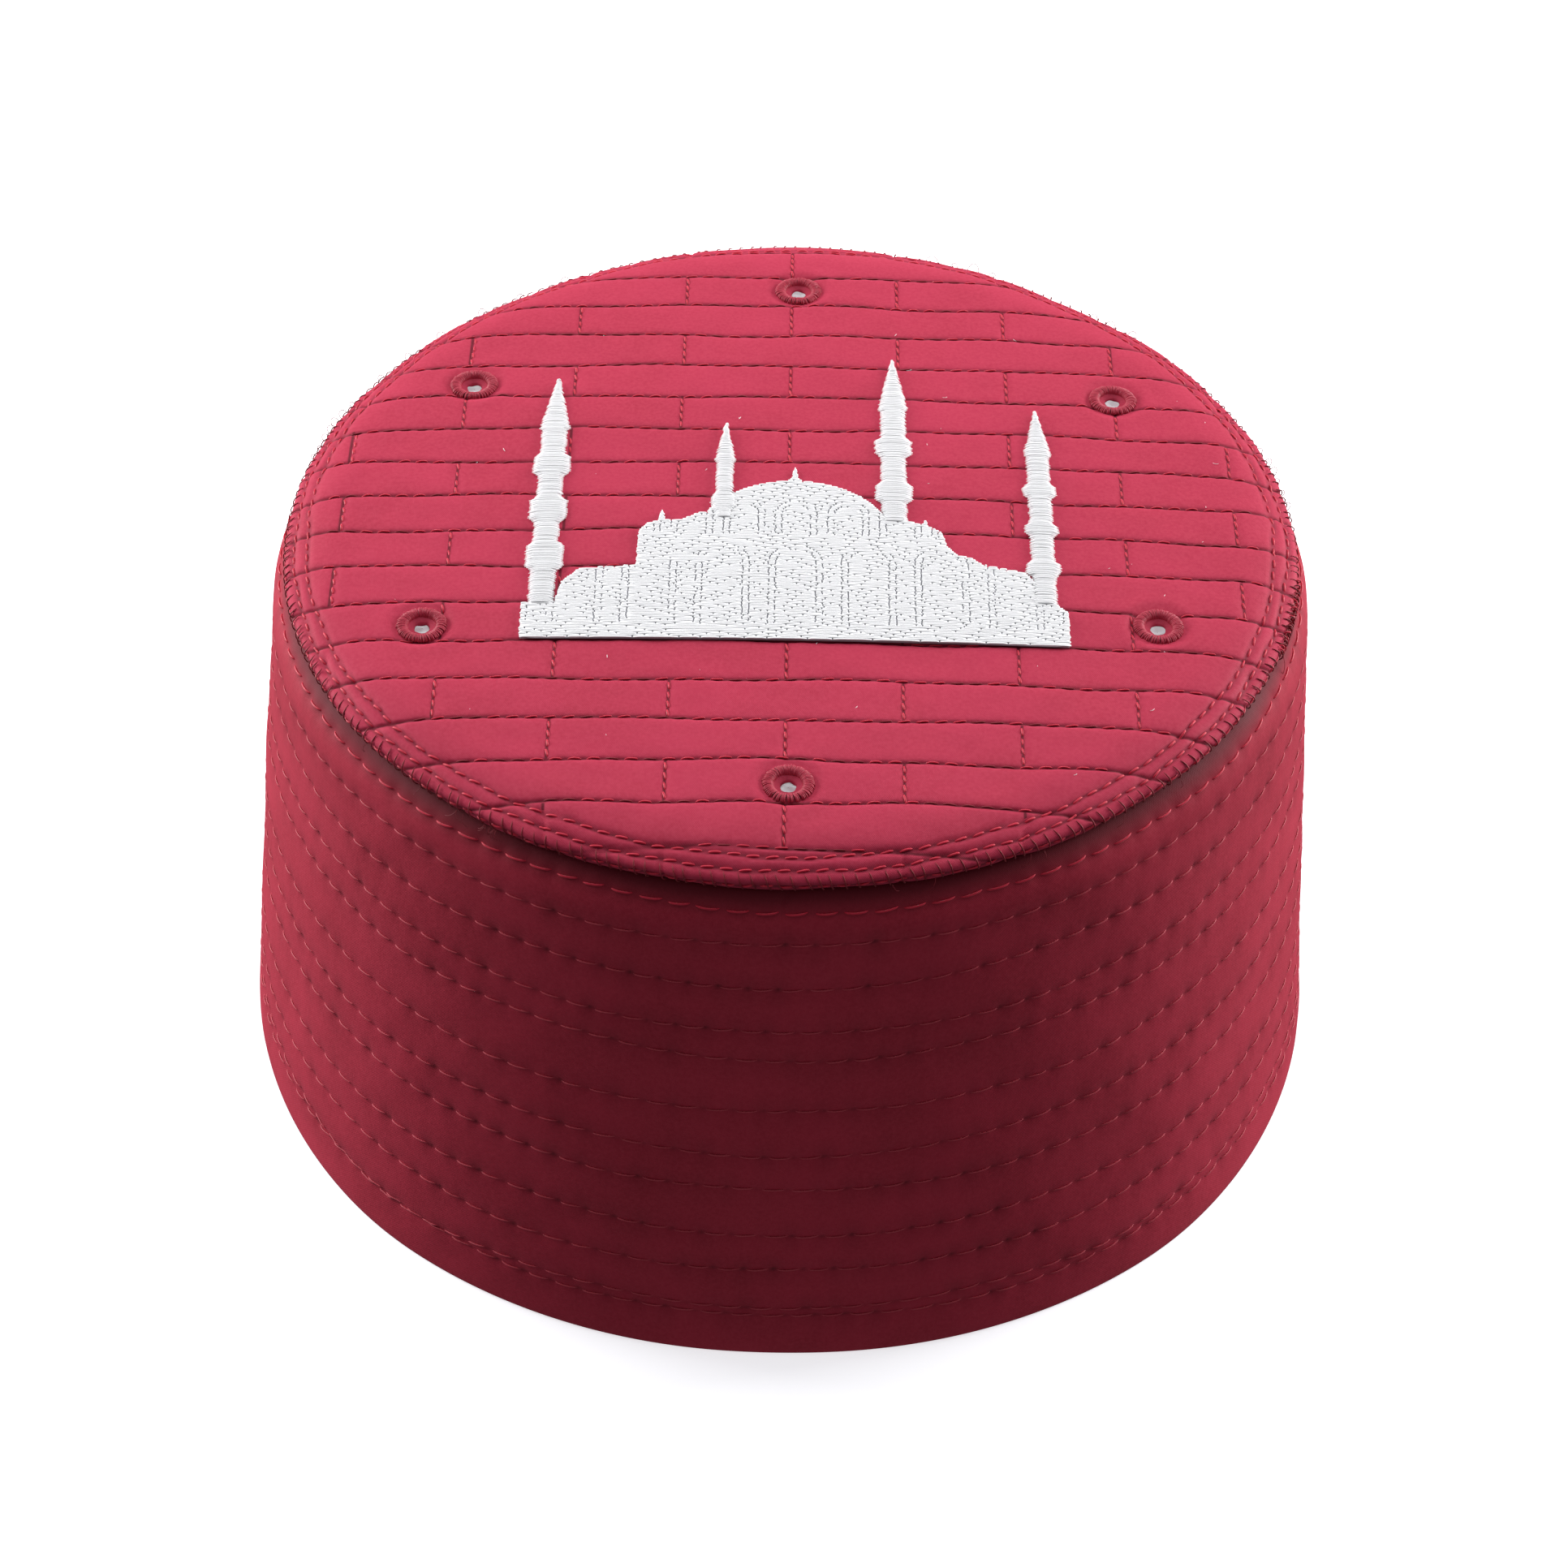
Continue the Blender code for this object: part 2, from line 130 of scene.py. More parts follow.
# %% Unevenness and fine threads
def ripples(x, y, size, seed, waves=8):
    """Smooth unevenness of about -1 to 1: sine waves that cross in different directions."""
    draws = np.random.default_rng(seed)
    total = np.zeros(np.broadcast(x, y).shape)
    for _ in range(waves):
        turn, phase, stretch = draws.uniform(0, math.pi), draws.uniform(0, math.tau), draws.uniform(0.7, 1.5)
        total += np.sin((x * math.cos(turn) + y * math.sin(turn)) * math.tau * stretch / size + phase)
    return total / (1.4 * math.sqrt(waves))


def bump_at(distance, width):
    """1 on a line and falling to 0 beside it."""
    return np.exp(-(distance / width) ** 2)


def unit(vectors):
    return vectors / np.maximum(np.linalg.norm(vectors, axis=-1, keepdims=True), 1e-12)


def smooth_round(degrees, lengths, spread=9):
    """A length in millimetres for each whole degree round the cap, with its corners smoothed."""
    whole = np.interp(np.arange(360), degrees, lengths)
    kernel = np.hanning(2 * spread + 1)
    return np.convolve(np.tile(whole, 3), kernel / kernel.sum(), "same")[360:720]


# A hand-sewn cap isn't quite round. These say by how many millimetres the crown's edge and the hem
# stand out, seen from above: 0 is the cap's left hand, 90 its back and 270 its front.
EDGE_STRAY = smooth_round([0, 10, 30, 52, 80, 95, 115, 140, 160, 180, 205, 230, 330, 360],
                          [0.4, 0.3, -0.2, -1.0, -0.2, -0.3, -1.6, -2.1, -1.3, -0.9, -0.4, 0.0, 0.0, 0.4])
HEM_STRAY = smooth_round([0, 30, 90, 180, 200, 225, 250, 270, 290, 315, 340, 360],
                         [-0.4, -0.3, 0.0, 0.2, 0.8, 1.8, 0.8, 0.0, 0.8, 1.7, 0.5, -0.4])


def stray_at(strays, turn):
    return MM * np.interp(np.degrees(turn) % 360, np.arange(361), np.append(strays, strays[0]))


def thread_mesh(paths, ups, width, height, sides=6, blunt=0.35):
    """Points and faces of many threads. paths and ups are arrays of threads by points by xyz."""
    count, steps = paths.shape[:2]
    along = unit(np.gradient(paths, axis=1))
    across = unit(np.cross(along, ups))
    lift = np.cross(across, along)
    share = np.linspace(-1.0, 1.0, steps)
    swell = np.sqrt(np.maximum(1.0 - np.abs(share) ** 5, 0.0)) * (1.0 - blunt) + blunt
    turn = np.arange(sides) * math.tau / sides
    width = np.broadcast_to(np.asarray(width, dtype=float).reshape(-1, 1, 1, 1), (count, 1, 1, 1))
    height = np.broadcast_to(np.asarray(height, dtype=float).reshape(-1, 1, 1, 1), (count, 1, 1, 1))
    out = across[:, :, None, :] * (np.cos(turn)[None, None, :, None] * width / 2)
    out = out + lift[:, :, None, :] * (np.sin(turn)[None, None, :, None] * height / 2)
    points = (paths[:, :, None, :] + out * swell[None, :, None, None]).reshape(-1, 3)
    tube = []
    for step in range(steps - 1):
        for side in range(sides):
            beside = (side + 1) % sides
            tube.append((step * sides + side, (step + 1) * sides + side,
                         (step + 1) * sides + beside, step * sides + beside))
    first = np.arange(count) * steps * sides
    faces = (first[:, None, None] + np.array(tube)[None]).reshape(-1, 4).tolist()
    ring = np.arange(sides)
    faces += (first[:, None] + ring[None]).tolist()
    faces += (first[:, None] + (steps - 1) * sides + ring[::-1][None]).tolist()
    return points, faces


def join_meshes(parts):
    """One list of points and faces from several."""
    points, faces, first = [], [], 0
    for part_points, part_faces in parts:
        points.append(part_points)
        faces += [[corner + first for corner in face] for face in part_faces]
        first += len(part_points)
    return np.concatenate(points), faces


# %% [markdown]
# Shader maths reads best as ordinary arithmetic. The small class below wraps one output of a node,
# so that 1 - mask or crease * 0.5 adds the Math nodes by itself. Colours are mixed with Mix nodes,
# because a Math node would turn them grey.

# %% Arithmetic on sockets
class Value:
    def __init__(self, finish, socket):
        self.finish = finish
        self.socket = socket

    def maths(self, operation, first, second):
        return self.finish.add("ShaderNodeMath", {"operation": operation}, {0: first, 1: second})

    def __add__(self, other):
        return self.maths("ADD", self, other)

    def __radd__(self, other):
        return self.maths("ADD", other, self)

    def __sub__(self, other):
        return self.maths("SUBTRACT", self, other)

    def __rsub__(self, other):
        return self.maths("SUBTRACT", other, self)

    def __mul__(self, other):
        return self.maths("MULTIPLY", self, other)

    def __rmul__(self, other):
        return self.maths("MULTIPLY", other, self)


class Finish:
    """A material under construction, with its shader's own fixed values set at the start."""

    def __init__(self, name, **fixed):
        self.material = bpy.data.materials.new(name)
        self.material.use_nodes = True
        self.tree = self.material.node_tree
        self.shader = self.tree.nodes["Principled BSDF"]
        for socket, value in fixed.items():
            self.shader.inputs[socket.replace("_", " ")].default_value = value

    def add(self, kind, settings, sockets, output=0):
        """Any node: its settings are set first, then its sockets get values or links."""
        node = self.tree.nodes.new(kind)
        for name, setting in settings.items():
            if name == "stops":
                self.set_stops(node.color_ramp, setting)
            else:
                setattr(node, name, setting)
        for name, value in sockets.items():
            self.feed(node.inputs[name], value)
        return Value(self, node.outputs[output])

    def set_stops(self, ramp, stops):
        while len(ramp.elements) < len(stops):
            ramp.elements.new(1.0)
        for element, (place, shade) in zip(ramp.elements, stops):
            element.position = place
            element.color = (shade, shade, shade, 1.0)

    def feed(self, socket, value):
        if isinstance(value, Value):
            self.tree.links.new(value.socket, socket)
        else:
            socket.default_value = value

    def place(self):
        """The point's place on the cap, in metres."""
        return self.add("ShaderNodeTexCoord", {}, {}, output="Object")

    def measure(self, name):
        return self.add("ShaderNodeAttribute", {"attribute_name": name}, {}, output="Fac")

    def noise(self, place, size, detail=3.0, roughness=0.55):
        sockets = {"Vector": place, "Scale": 1.0 / size, "Detail": detail, "Roughness": roughness}
        return self.add("ShaderNodeTexNoise", {}, sockets)

    def parts(self, place):
        node = self.tree.nodes.new("ShaderNodeSeparateXYZ")
        self.feed(node.inputs[0], place)
        return [Value(self, output) for output in node.outputs]

    def ramp(self, value, stops):
        return self.add("ShaderNodeValToRGB", {"stops": stops}, {"Fac": value})

    def blend(self, share, first, second):
        """A colour between two colours."""
        node = self.tree.nodes.new("ShaderNodeMix")
        node.data_type = "RGBA"
        self.feed(node.inputs[0], share)
        self.feed(node.inputs[6], first)
        self.feed(node.inputs[7], second)
        return Value(self, node.outputs[2])

    def bump(self, height, strength, distance, normal=None):
        sockets = {"Height": height, "Strength": strength, "Distance": distance}
        if normal is not None:
            sockets["Normal"] = normal
        return self.add("ShaderNodeBump", {}, sockets)

    def finish(self, colour, roughness, normal):
        self.feed(self.shader.inputs["Base Color"], colour)
        self.feed(self.shader.inputs["Roughness"], roughness)
        self.feed(self.shader.inputs["Normal"], normal)
        return self.material


# %% [markdown]
# The cap is sewn from a dense dark red cotton satin with hardly any shine. Its weave is finer than a
# third of a millimetre, so it is bump and not geometry. A soft mottle keeps the red from looking like
# paint. Shade is painted into the cloth's colour where a stitch pulls it in, under the lip and in the
# eyelets: the grids hand that over as a measure of painted shade. The crown and the wall use the same
# finish with their own weave directions.

# %% Red cloth
WEAVE_SIZE = 0.00034


def weave(finish, along, up):
    """Crossing threads: over and under in both directions."""
    warp = finish.add("ShaderNodeMath", {"operation": "SINE"}, {0: along * (math.tau / WEAVE_SIZE)})
    weft = finish.add("ShaderNodeMath", {"operation": "SINE"}, {0: up * (math.tau / WEAVE_SIZE)})
    return warp * weft


def joint_crease_shade(finish, x, y):
    """1 on a joint between two bricks, where shade is painted: a line finer than the crown's grid can hold."""
    row = finish.add("ShaderNodeMath", {"operation": "ROUND"}, {0: y * (1 / BRICK_PITCH)})
    start = x + row * (BRICK_LENGTH / 2) + 40.5 * BRICK_LENGTH
    along = finish.add("ShaderNodeMath", {"operation": "MODULO"}, {0: start, 1: BRICK_LENGTH})
    away = finish.add("ShaderNodeMath", {"operation": "ABSOLUTE"}, {0: along - BRICK_LENGTH / 2})
    from_middle = finish.add("ShaderNodeMath", {"operation": "SQRT"}, {0: x * x + y * y})
    inside = finish.add("ShaderNodeMath", {"operation": "LESS_THAN"}, {0: from_middle, 1: QUILT_RADIUS})
    return finish.ramp(away * 1000.0, [(0.14, 0.85), (0.36, 0.0)]) * inside


def red_cloth(name, light, dark, lit, round_wall):
    finish = Finish(name, Sheen_Weight=0.06, Sheen_Roughness=0.45, Specular_IOR_Level=0.22)
    finish.shader.inputs["Sheen Tint"].default_value = (1.0, 0.45, 0.55, 1.0)
    place = finish.place()
    x, y, z = finish.parts(place)
    if round_wall:
        turn = finish.add("ShaderNodeMath", {"operation": "ARCTAN2"}, {0: y, 1: x})
        threads = weave(finish, turn * HEM_RADIUS, z)
    else:
        threads = weave(finish, x, y)
    mottle = finish.ramp(finish.noise(place, 0.016, 4.0), [(0.30, 0.0), (0.72, 1.0)])
    grain = finish.noise(place, 0.0007, 2.0, 0.7)
    crease = finish.measure("crease")
    if not round_wall:
        crease = finish.add("ShaderNodeMath", {"operation": "MAXIMUM"}, {0: crease, 1: joint_crease_shade(finish, x, y)})
    colour = finish.blend(mottle, dark, light)
    colour = finish.blend(finish.ramp(grain, [(0.34, 0.0), (0.66, 0.42)]), colour, lit)
    # Painted shade: the creases darken the cloth towards a quarter of its dark red.
    colour = finish.blend(crease, colour, tuple(0.26 * part for part in dark[:3]) + (1.0,))
    height = threads * 0.35 + grain * 0.9
    normal = finish.bump(height, 0.35, 0.00010)
    normal = finish.bump(finish.noise(place, 0.0045, 3.0), 0.25, 0.00035, normal)
    return finish.finish(colour, 0.62 + mottle * 0.10, normal)


crown_finish = red_cloth("quilted red satin", (0.565, 0.033, 0.084, 1), (0.510, 0.026, 0.067, 1),
                         (0.640, 0.058, 0.118, 1), round_wall=False)
wall_finish = red_cloth("stitched red satin", (0.555, 0.028, 0.064, 1), (0.440, 0.018, 0.044, 1),
                        (0.620, 0.045, 0.085, 1), round_wall=True)
print("made", crown_finish.name, "and", wall_finish.name)

# %% [markdown]
# Sewing thread shines more than the cloth. A real thread is plied, so its shade winds round it: a fine
# noise that is long along the thread would need its direction, and a plain fine noise reads the same
# at this size. One finish makes all the threads in their four colours.

# %% Threads
def thread(name, light, dark, roughness, sheen):
    finish = Finish(name, Sheen_Weight=sheen, Sheen_Roughness=0.35, Specular_IOR_Level=0.4)
    place = finish.place()
    ply = finish.noise(place, 0.0006, 2.0, 0.6)
    patch = finish.noise(place, 0.008, 2.0)
    colour = finish.blend(ply * 0.6 + patch * 0.4, dark, light)
    normal = finish.bump(ply, 0.4, 0.00008)
    return finish.finish(colour, roughness + 0.15 * ply, normal)


# The dark red thread is a darker copy of the bright red one: a deeper red, and also painted shade for stitches sunk in
# the channels and at the lip.
bright_thread = thread("bright red thread", (0.82, 0.020, 0.072, 1), (0.52, 0.008, 0.030, 1), 0.38, 0.2)
dark_and_shaded_thread = thread("dark and shaded red thread", (0.36, 0.010, 0.028, 1), (0.15, 0.004, 0.011, 1), 0.50, 0.1)
eyelet_thread = thread("eyelet red thread", (0.56, 0.028, 0.075, 1), (0.36, 0.010, 0.032, 1), 0.45, 0.2)
# The underlay's white thread is painted grey: painted shade that shows between the fill stitches.
shaded_underlay_thread = thread("shaded white thread", (0.42, 0.42, 0.46, 1), (0.30, 0.30, 0.34, 1), 0.60, 0.0)
wall_thread = thread("rose thread", (0.70, 0.075, 0.118, 1), (0.48, 0.032, 0.056, 1), 0.45, 0.2)
white_thread = thread("white embroidery thread", (0.985, 0.985, 0.995, 1), (0.93, 0.93, 0.95, 1), 0.38, 0.1)
print("threads in", [m.name for m in (bright_thread, dark_and_shaded_thread, wall_thread, white_thread)])

# %% [markdown]
# The crown is a padded disc: almost flat, then rolling over at its lip and tucking under onto the
# wall. Its section is drawn once as a line from the centre outwards. A place on the cloth is then a
# direction and a length along that line, so the quilting can run on over the lip as it does on the
# real cap, where the cloth was quilted flat and only then pulled over.

# %% The crown's section
def dome_height(radius):
    return CROWN_HEIGHT - CROWN_RISE * (radius / CROWN_RADIUS) ** 2


def crown_top(radius):
    fall = np.maximum(0.0, radius - (CROWN_RADIUS - LIP_WIDTH)) / LIP_WIDTH
    return dome_height(radius) - LIP_DROP * fall ** LIP_ROUNDNESS


def cut_corners(line, times):
    """A line rounded by cutting its corners several times; its ends stay."""
    line = np.asarray(line, dtype=float)
    for _ in range(times):
        near = line[:-1] * 0.75 + line[1:] * 0.25
        far = line[:-1] * 0.25 + line[1:] * 0.75
        line = np.concatenate([line[:1], np.stack([near, far], axis=1).reshape(-1, 2), line[-1:]])
    return line


LIP_TURN = 0.0009
edge_radius = CROWN_RADIUS - LIP_TURN
edge_height = crown_top(edge_radius)
under_height = dome_height(CROWN_RADIUS) - CROWN_THICKNESS
lip_turn = [
    (edge_radius, edge_height),
    (CROWN_RADIUS - 0.0001, edge_height - 0.0005),
    (CROWN_RADIUS + 0.0001, (edge_height + under_height) / 2),
    (CROWN_RADIUS - 0.0002, under_height + 0.0001),
    (CROWN_RADIUS - 0.0017, under_height - 0.0001),
    (CROWN_RADIUS - 0.0035, under_height + 0.0001),
    (CROWN_RADIUS - 0.0065, under_height + 0.0003),
]
flat_radii = np.linspace(0.0, edge_radius, 400)[:-1]
crown_line = np.concatenate([np.stack([flat_radii, crown_top(flat_radii)], axis=1), cut_corners(lip_turn, 3)])
steps = np.linalg.norm(np.diff(crown_line, axis=0), axis=1)
crown_length = np.concatenate([[0.0], np.cumsum(steps)])
CROWN_REACH = crown_length[-1]
print("the crown's cloth reaches", round(CROWN_REACH / MM, 1), "mm from its centre")


def crown_section(length):
    """Radius, height and outward normal of the crown's line at a length from its centre."""
    radius = np.interp(length, crown_length, crown_line[:, 0])
    height = np.interp(length, crown_length, crown_line[:, 1])
    step = 0.0003
    ahead = np.clip(length + step, 0.0, CROWN_REACH)
    behind = np.clip(length - step, 0.0, CROWN_REACH)
    run = np.interp(ahead, crown_length, crown_line[:, 0]) - np.interp(behind, crown_length, crown_line[:, 0])
    rise = np.interp(ahead, crown_length, crown_line[:, 1]) - np.interp(behind, crown_length, crown_line[:, 1])
    size = np.hypot(run, rise)
    return radius, height, -rise / size, run / size


def on_crown(x, y, lift=0.0):
    """Points and normals on the crown for places on its flat cloth."""
    length = np.maximum(np.hypot(x, y), 1e-9)
    radius, height, out, up = crown_section(length)
    side_x, side_y = x / length, y / length
    near_edge = np.clip((length - 0.066) / 0.022, 0.0, 1.0) ** 1.5
    reach = radius + out * lift + stray_at(EDGE_STRAY, np.arctan2(y, x)) * near_edge
    points = np.stack([side_x * reach, side_y * reach, height + up * lift], axis=-1)
    normals = np.stack([side_x * out, side_y * out, up], axis=-1)
    return points, normals


# %% [markdown]
# The quilting is a wall of bricks. Its row lines are 9.5 mm apart, and the joints of one row stand
# half a brick away from those of the next. Three more lines of stitches run round the lip. A line of
# stitches presses a narrow channel into the padding, deeper where the needle went through, and
# the padding between the lines stays almost flat.

# %% The quilted surface
CHANNEL_WIDTH = 0.00034
CHANNEL_DEPTH = 0.00034
SHOULDER_WIDTH = 0.0011
PADDING_PUFF = 0.00009
CROWN_STITCH = 0.0030
RING_RADII = [0.0823, 0.0845, 0.0861]
ring_lengths = [float(np.interp(radius, crown_line[:400, 0], crown_length[:400])) for radius in RING_RADII[:2]]
ring_lengths.append(float(crown_length[399] + 0.0019))


def row_wobble(x, row):
    """How far a hand-guided row line strays from its ruled place."""
    return 0.00022 * np.sin(x / 0.011 + row * 2.4) + 0.00016 * np.sin(x / 0.0043 + row * 5.1)


def follow_wobble(x, y):
    """How far a place between two row lines strays with them."""
    line = np.floor(y / BRICK_PITCH - 0.5)
    share = y / BRICK_PITCH - 0.5 - line
    return row_wobble(x, line) * (1 - share) + row_wobble(x, line + 1) * share


def row_distance(x, y):
    """Distance to the nearest row line, and the row that the place is in."""
    line = np.floor(y / BRICK_PITCH)
    return np.abs(y - (line + 0.5) * BRICK_PITCH - row_wobble(x, line)), np.round(y / BRICK_PITCH)


def joint_distance(x, row):
    """Distance to the nearest joint of that row of bricks."""
    shift = np.where(row % 2 == 0, 0.0, BRICK_LENGTH / 2)
    return np.abs((x + shift + BRICK_LENGTH / 2) % BRICK_LENGTH - BRICK_LENGTH / 2)


def crown_relief(x, y):
    """Height of the quilted cloth over its padding, and how much shade is painted on it in the creases."""
    to_row, row = row_distance(x, y)
    to_joint = joint_distance(x, row)
    length = np.hypot(x, y)
    nearest = np.minimum(to_row, to_joint)
    needle = 0.75 + 0.25 * np.cos(math.tau * (x + y * 0.3) / CROWN_STITCH)
    relief = PADDING_PUFF * (1.0 - bump_at(nearest, SHOULDER_WIDTH))
    relief -= CHANNEL_DEPTH * needle * bump_at(nearest, CHANNEL_WIDTH)
    # Painted shade along the row lines and, below, round the lip's stitch lines.
    crease = 0.95 * bump_at(to_row, 0.00024)
    turn = np.arctan2(y, x)
    for ring, ring_length in enumerate(ring_lengths):
        stray = 0.00015 * np.sin(turn * 23 + ring * 2) + 0.0001 * np.sin(turn * 61 + ring)
        to_ring = np.abs(length - ring_length - stray)
        relief -= 0.9 * CHANNEL_DEPTH * bump_at(to_ring, 0.0005)
        crease = np.maximum(crease, 0.80 * bump_at(to_ring, 0.00032))
    for place in eyelet_places:
        away = np.hypot(x - place[0], y - place[1])
        relief -= 0.00045 * bump_at(away - EYELET_RADIUS, 0.0009)
        relief += 0.00012 * bump_at(away - EYELET_RADIUS - 0.0022, 0.0012)
    relief += 0.00016 * ripples(x, y, 0.034, 3) + 0.00005 * ripples(x, y, 0.009, 5)
    return relief, np.clip(crease, 0.0, 1.0)


# %% [markdown]
# The cloth is a grid whose rows follow the quilting rows, close together at the stitches and wide
# apart between them. Each row of points is stretched to the width that the disc has there. The
# little squares under each eyelet are left out, so that its hole is a real one.

# %% Crown cloth
LINE_OFFSETS = [0.0, 0.00018, 0.00038, 0.00064, 0.00105, 0.00170, 0.00260, 0.00370]
CROWN_COLUMNS = 257
EYELET_OPENING = 0.0031


def crown_rows():
    """Heights of the grid's rows on the flat cloth: dense at each row line and round the lip."""
    rows = set()
    inner = CROWN_RADIUS - LIP_WIDTH
    for line in range(-9, 10):
        middle = (line + 0.5) * BRICK_PITCH
        rows.update(round(middle + side * offset, 7) for offset in LINE_OFFSETS for side in (-1, 1))
        rows.add(round(line * BRICK_PITCH, 7))
    rows = {row for row in rows if abs(row) < inner}
    rim = np.linspace(inner, CROWN_REACH, 42)
    return np.array(sorted(rows | set(rim.tolist()) | set((-rim).tolist())))


row_places = crown_rows()
half_widths = np.sqrt(np.maximum(CROWN_REACH ** 2 - row_places ** 2, 0.0))
shares = np.linspace(-1.0, 1.0, CROWN_COLUMNS)
flat_x = half_widths[:, None] * shares[None, :]
flat_y = np.repeat(row_places[:, None], CROWN_COLUMNS, axis=1)
inland = np.clip((CROWN_REACH - LIP_WIDTH - np.hypot(flat_x, flat_y)) / 0.006, 0.0, 1.0)
flat_y = flat_y + follow_wobble(flat_x, flat_y) * inland
relief, crease = crown_relief(flat_x, flat_y)
fade = np.clip((CROWN_REACH - np.hypot(flat_x, flat_y)) / 0.004, 0.0, 1.0)
crown_points = on_crown(flat_x, flat_y, relief * fade)[0].reshape(-1, 3)
crown_faces = grid_faces(len(row_places), CROWN_COLUMNS)
corner = np.array(crown_faces)
middle_x = flat_x.ravel()[corner].mean(axis=1)
middle_y = flat_y.ravel()[corner].mean(axis=1)
kept = np.ones(len(corner), dtype=bool)
for place in eyelet_places:
    kept &= np.hypot(middle_x - place[0], middle_y - place[1]) > EYELET_OPENING
crown_cloth = make_piece("crown_cloth", crown_points, corner[kept].tolist(), crown_finish,
                         "crown_cloth", ["crown"])
# The painted shade of the creases goes to the material as a measure.
add_measure(crown_cloth, "crease", crease * fade)

# %% [markdown]
# The wall is one long quilted band. Twelve rows of running stitches go round it, not quite level,
# and the lowest two meet at the front left. Above the top row the band rolls over a soft shoulder and
# tucks under the lip. The grid's rows are close together at the stitch rows, and every needle
# hole pulls in a small dimple.

# %% The wall's section
shoulder_top = dome_height(SHOULDER_TOP_RADIUS) - CROWN_THICKNESS - SEAM_GAP
SHOULDER_RISE = shoulder_top - SHOULDER_HEIGHT


def wall_stray(turn, height):
    """How far out of round the wall is: like the hem at its foot, like the crown's edge at its top."""
    share = np.clip(height / SHOULDER_HEIGHT, 0.0, 1.0)
    return stray_at(HEM_STRAY, turn) * (1 - share) + stray_at(EDGE_STRAY, turn) * share ** 2


def wall_radius(turn, height):
    """Outer radius of the wall below and round its shoulder."""
    straight = HEM_RADIUS + (SHOULDER_RADIUS - HEM_RADIUS) * height / SHOULDER_HEIGHT
    share = np.clip((height - SHOULDER_HEIGHT) / SHOULDER_RISE, 0.0, 1.0)
    round_part = SHOULDER_TOP_RADIUS + (SHOULDER_RADIUS - SHOULDER_TOP_RADIUS) * np.sqrt(1.0 - share ** 2)
    return np.where(height < SHOULDER_HEIGHT, straight, round_part) + wall_stray(turn, height)


def row_height(row, turn):
    """Height of a stitch row at a turn round the wall."""
    level = WALL_ROWS[row] * CROWN_HEIGHT
    level = level + 0.00035 * np.sin(turn * 2 + row * 1.7) + 0.00022 * np.sin(turn * 7 + row * 3.1)
    if row == 1:
        meeting = bump_at(np.abs(turn - math.radians(226)), math.radians(13))
        meeting = meeting + 0.6 * bump_at(np.abs(turn - math.radians(306)), math.radians(9))
        level = level - 0.0021 * np.clip(meeting, 0.0, 1.0)
    return level


WALL_STITCH_COUNT = 118
wall_draws = np.random.default_rng(11)
stitch_shift = wall_draws.uniform(0.0, 1.0, len(WALL_ROWS))
hole_depth = wall_draws.uniform(0.35, 1.0, (len(WALL_ROWS), WALL_STITCH_COUNT))


def wall_relief(turn, height):
    """How far the wall's cloth stands out, and how much shade is painted on it at the rows and needle holes."""
    out = np.full(turn.shape, 0.0)
    crease = np.zeros(turn.shape)
    puff = np.ones(turn.shape)
    for row in range(len(WALL_ROWS)):
        away = height - row_height(row, turn)
        step = turn / math.tau * WALL_STITCH_COUNT + stitch_shift[row]
        hole = np.round(step).astype(int) % WALL_STITCH_COUNT
        along = np.abs(step - np.round(step)) * math.tau * HEM_RADIUS / WALL_STITCH_COUNT
        depth = hole_depth[row][hole]
        puff *= 1.0 - 0.9 * bump_at(away, 0.0024)
        out -= 0.00009 * bump_at(away, 0.00050)
        out -= 0.00034 * depth * bump_at(np.hypot(along, away * 0.8), 0.0010)
        # Painted shade: a thin line along each row, a dark spot at each needle hole and a wider soft one round it.
        crease = np.maximum(crease, 0.14 * bump_at(away, 0.00026))
        crease = np.maximum(crease, 0.85 * depth * bump_at(np.hypot(along * 0.7, away), 0.00055))
        crease = np.maximum(crease, 0.28 * depth * bump_at(np.hypot(along * 0.6, away * 0.5), 0.0016))
    out += 0.00012 * puff
    east, north = np.cos(turn) * HEM_RADIUS, np.sin(turn) * HEM_RADIUS
    out += 0.00012 * ripples(east + height, north - height, 0.040, 17)
    out += 0.00005 * ripples(east - height, north + height * 0.7, 0.014, 19)
    return out, np.clip(crease, 0.0, 1.0)


def front_fold(turn, height):
    """The short upright fold at the front, between the top row and the lip."""
    sideways = (turn - math.radians(270.5)) * SHOULDER_RADIUS
    above = np.clip((height - 0.0955) / 0.0012, 0.0, 1.0)
    return above * (bump_at(sideways - 0.0009, 0.0007) - 1.2 * bump_at(sideways + 0.0004, 0.0006))


# %% Wall cloth
WALL_COLUMNS = 590
ROW_OFFSETS = [0.0, 0.00028, 0.00060, 0.00105, 0.00175, 0.00265]
SHOULDER_ARC_START = math.radians(66)
# How deep the painted shadow under the lip reaches down the wall, at the sides and at the front.
SIDE_LIP_SHADE = 0.0012
FRONT_LIP_SHADE = 0.0048


def wall_levels():
    """Heights of the grid's rows: dense at each stitch row, then closing up over the shoulder."""
    dense = {0.0009, 0.0025, 0.0045}
    for share in WALL_ROWS:
        level = share * CROWN_HEIGHT
        dense.update(round(level + side * offset, 7) for offset in ROW_OFFSETS for side in (-1, 1))
    arc = np.sin(np.linspace(SHOULDER_ARC_START, math.pi / 2, 9))
    top = (SHOULDER_HEIGHT + SHOULDER_RISE * arc).tolist()
    dense = sorted(level for level in dense if level < top[0] - 0.0003)
    filled = [dense[0]]
    for level in dense[1:] + top[:1]:
        gap = level - filled[-1]
        if gap < 0.00013:
            continue
        spare = int(gap / 0.0019)
        filled += [filled[-1] + gap * step / (spare + 1) for step in range(1, spare + 2)]
    return np.array(filled + top[1:])


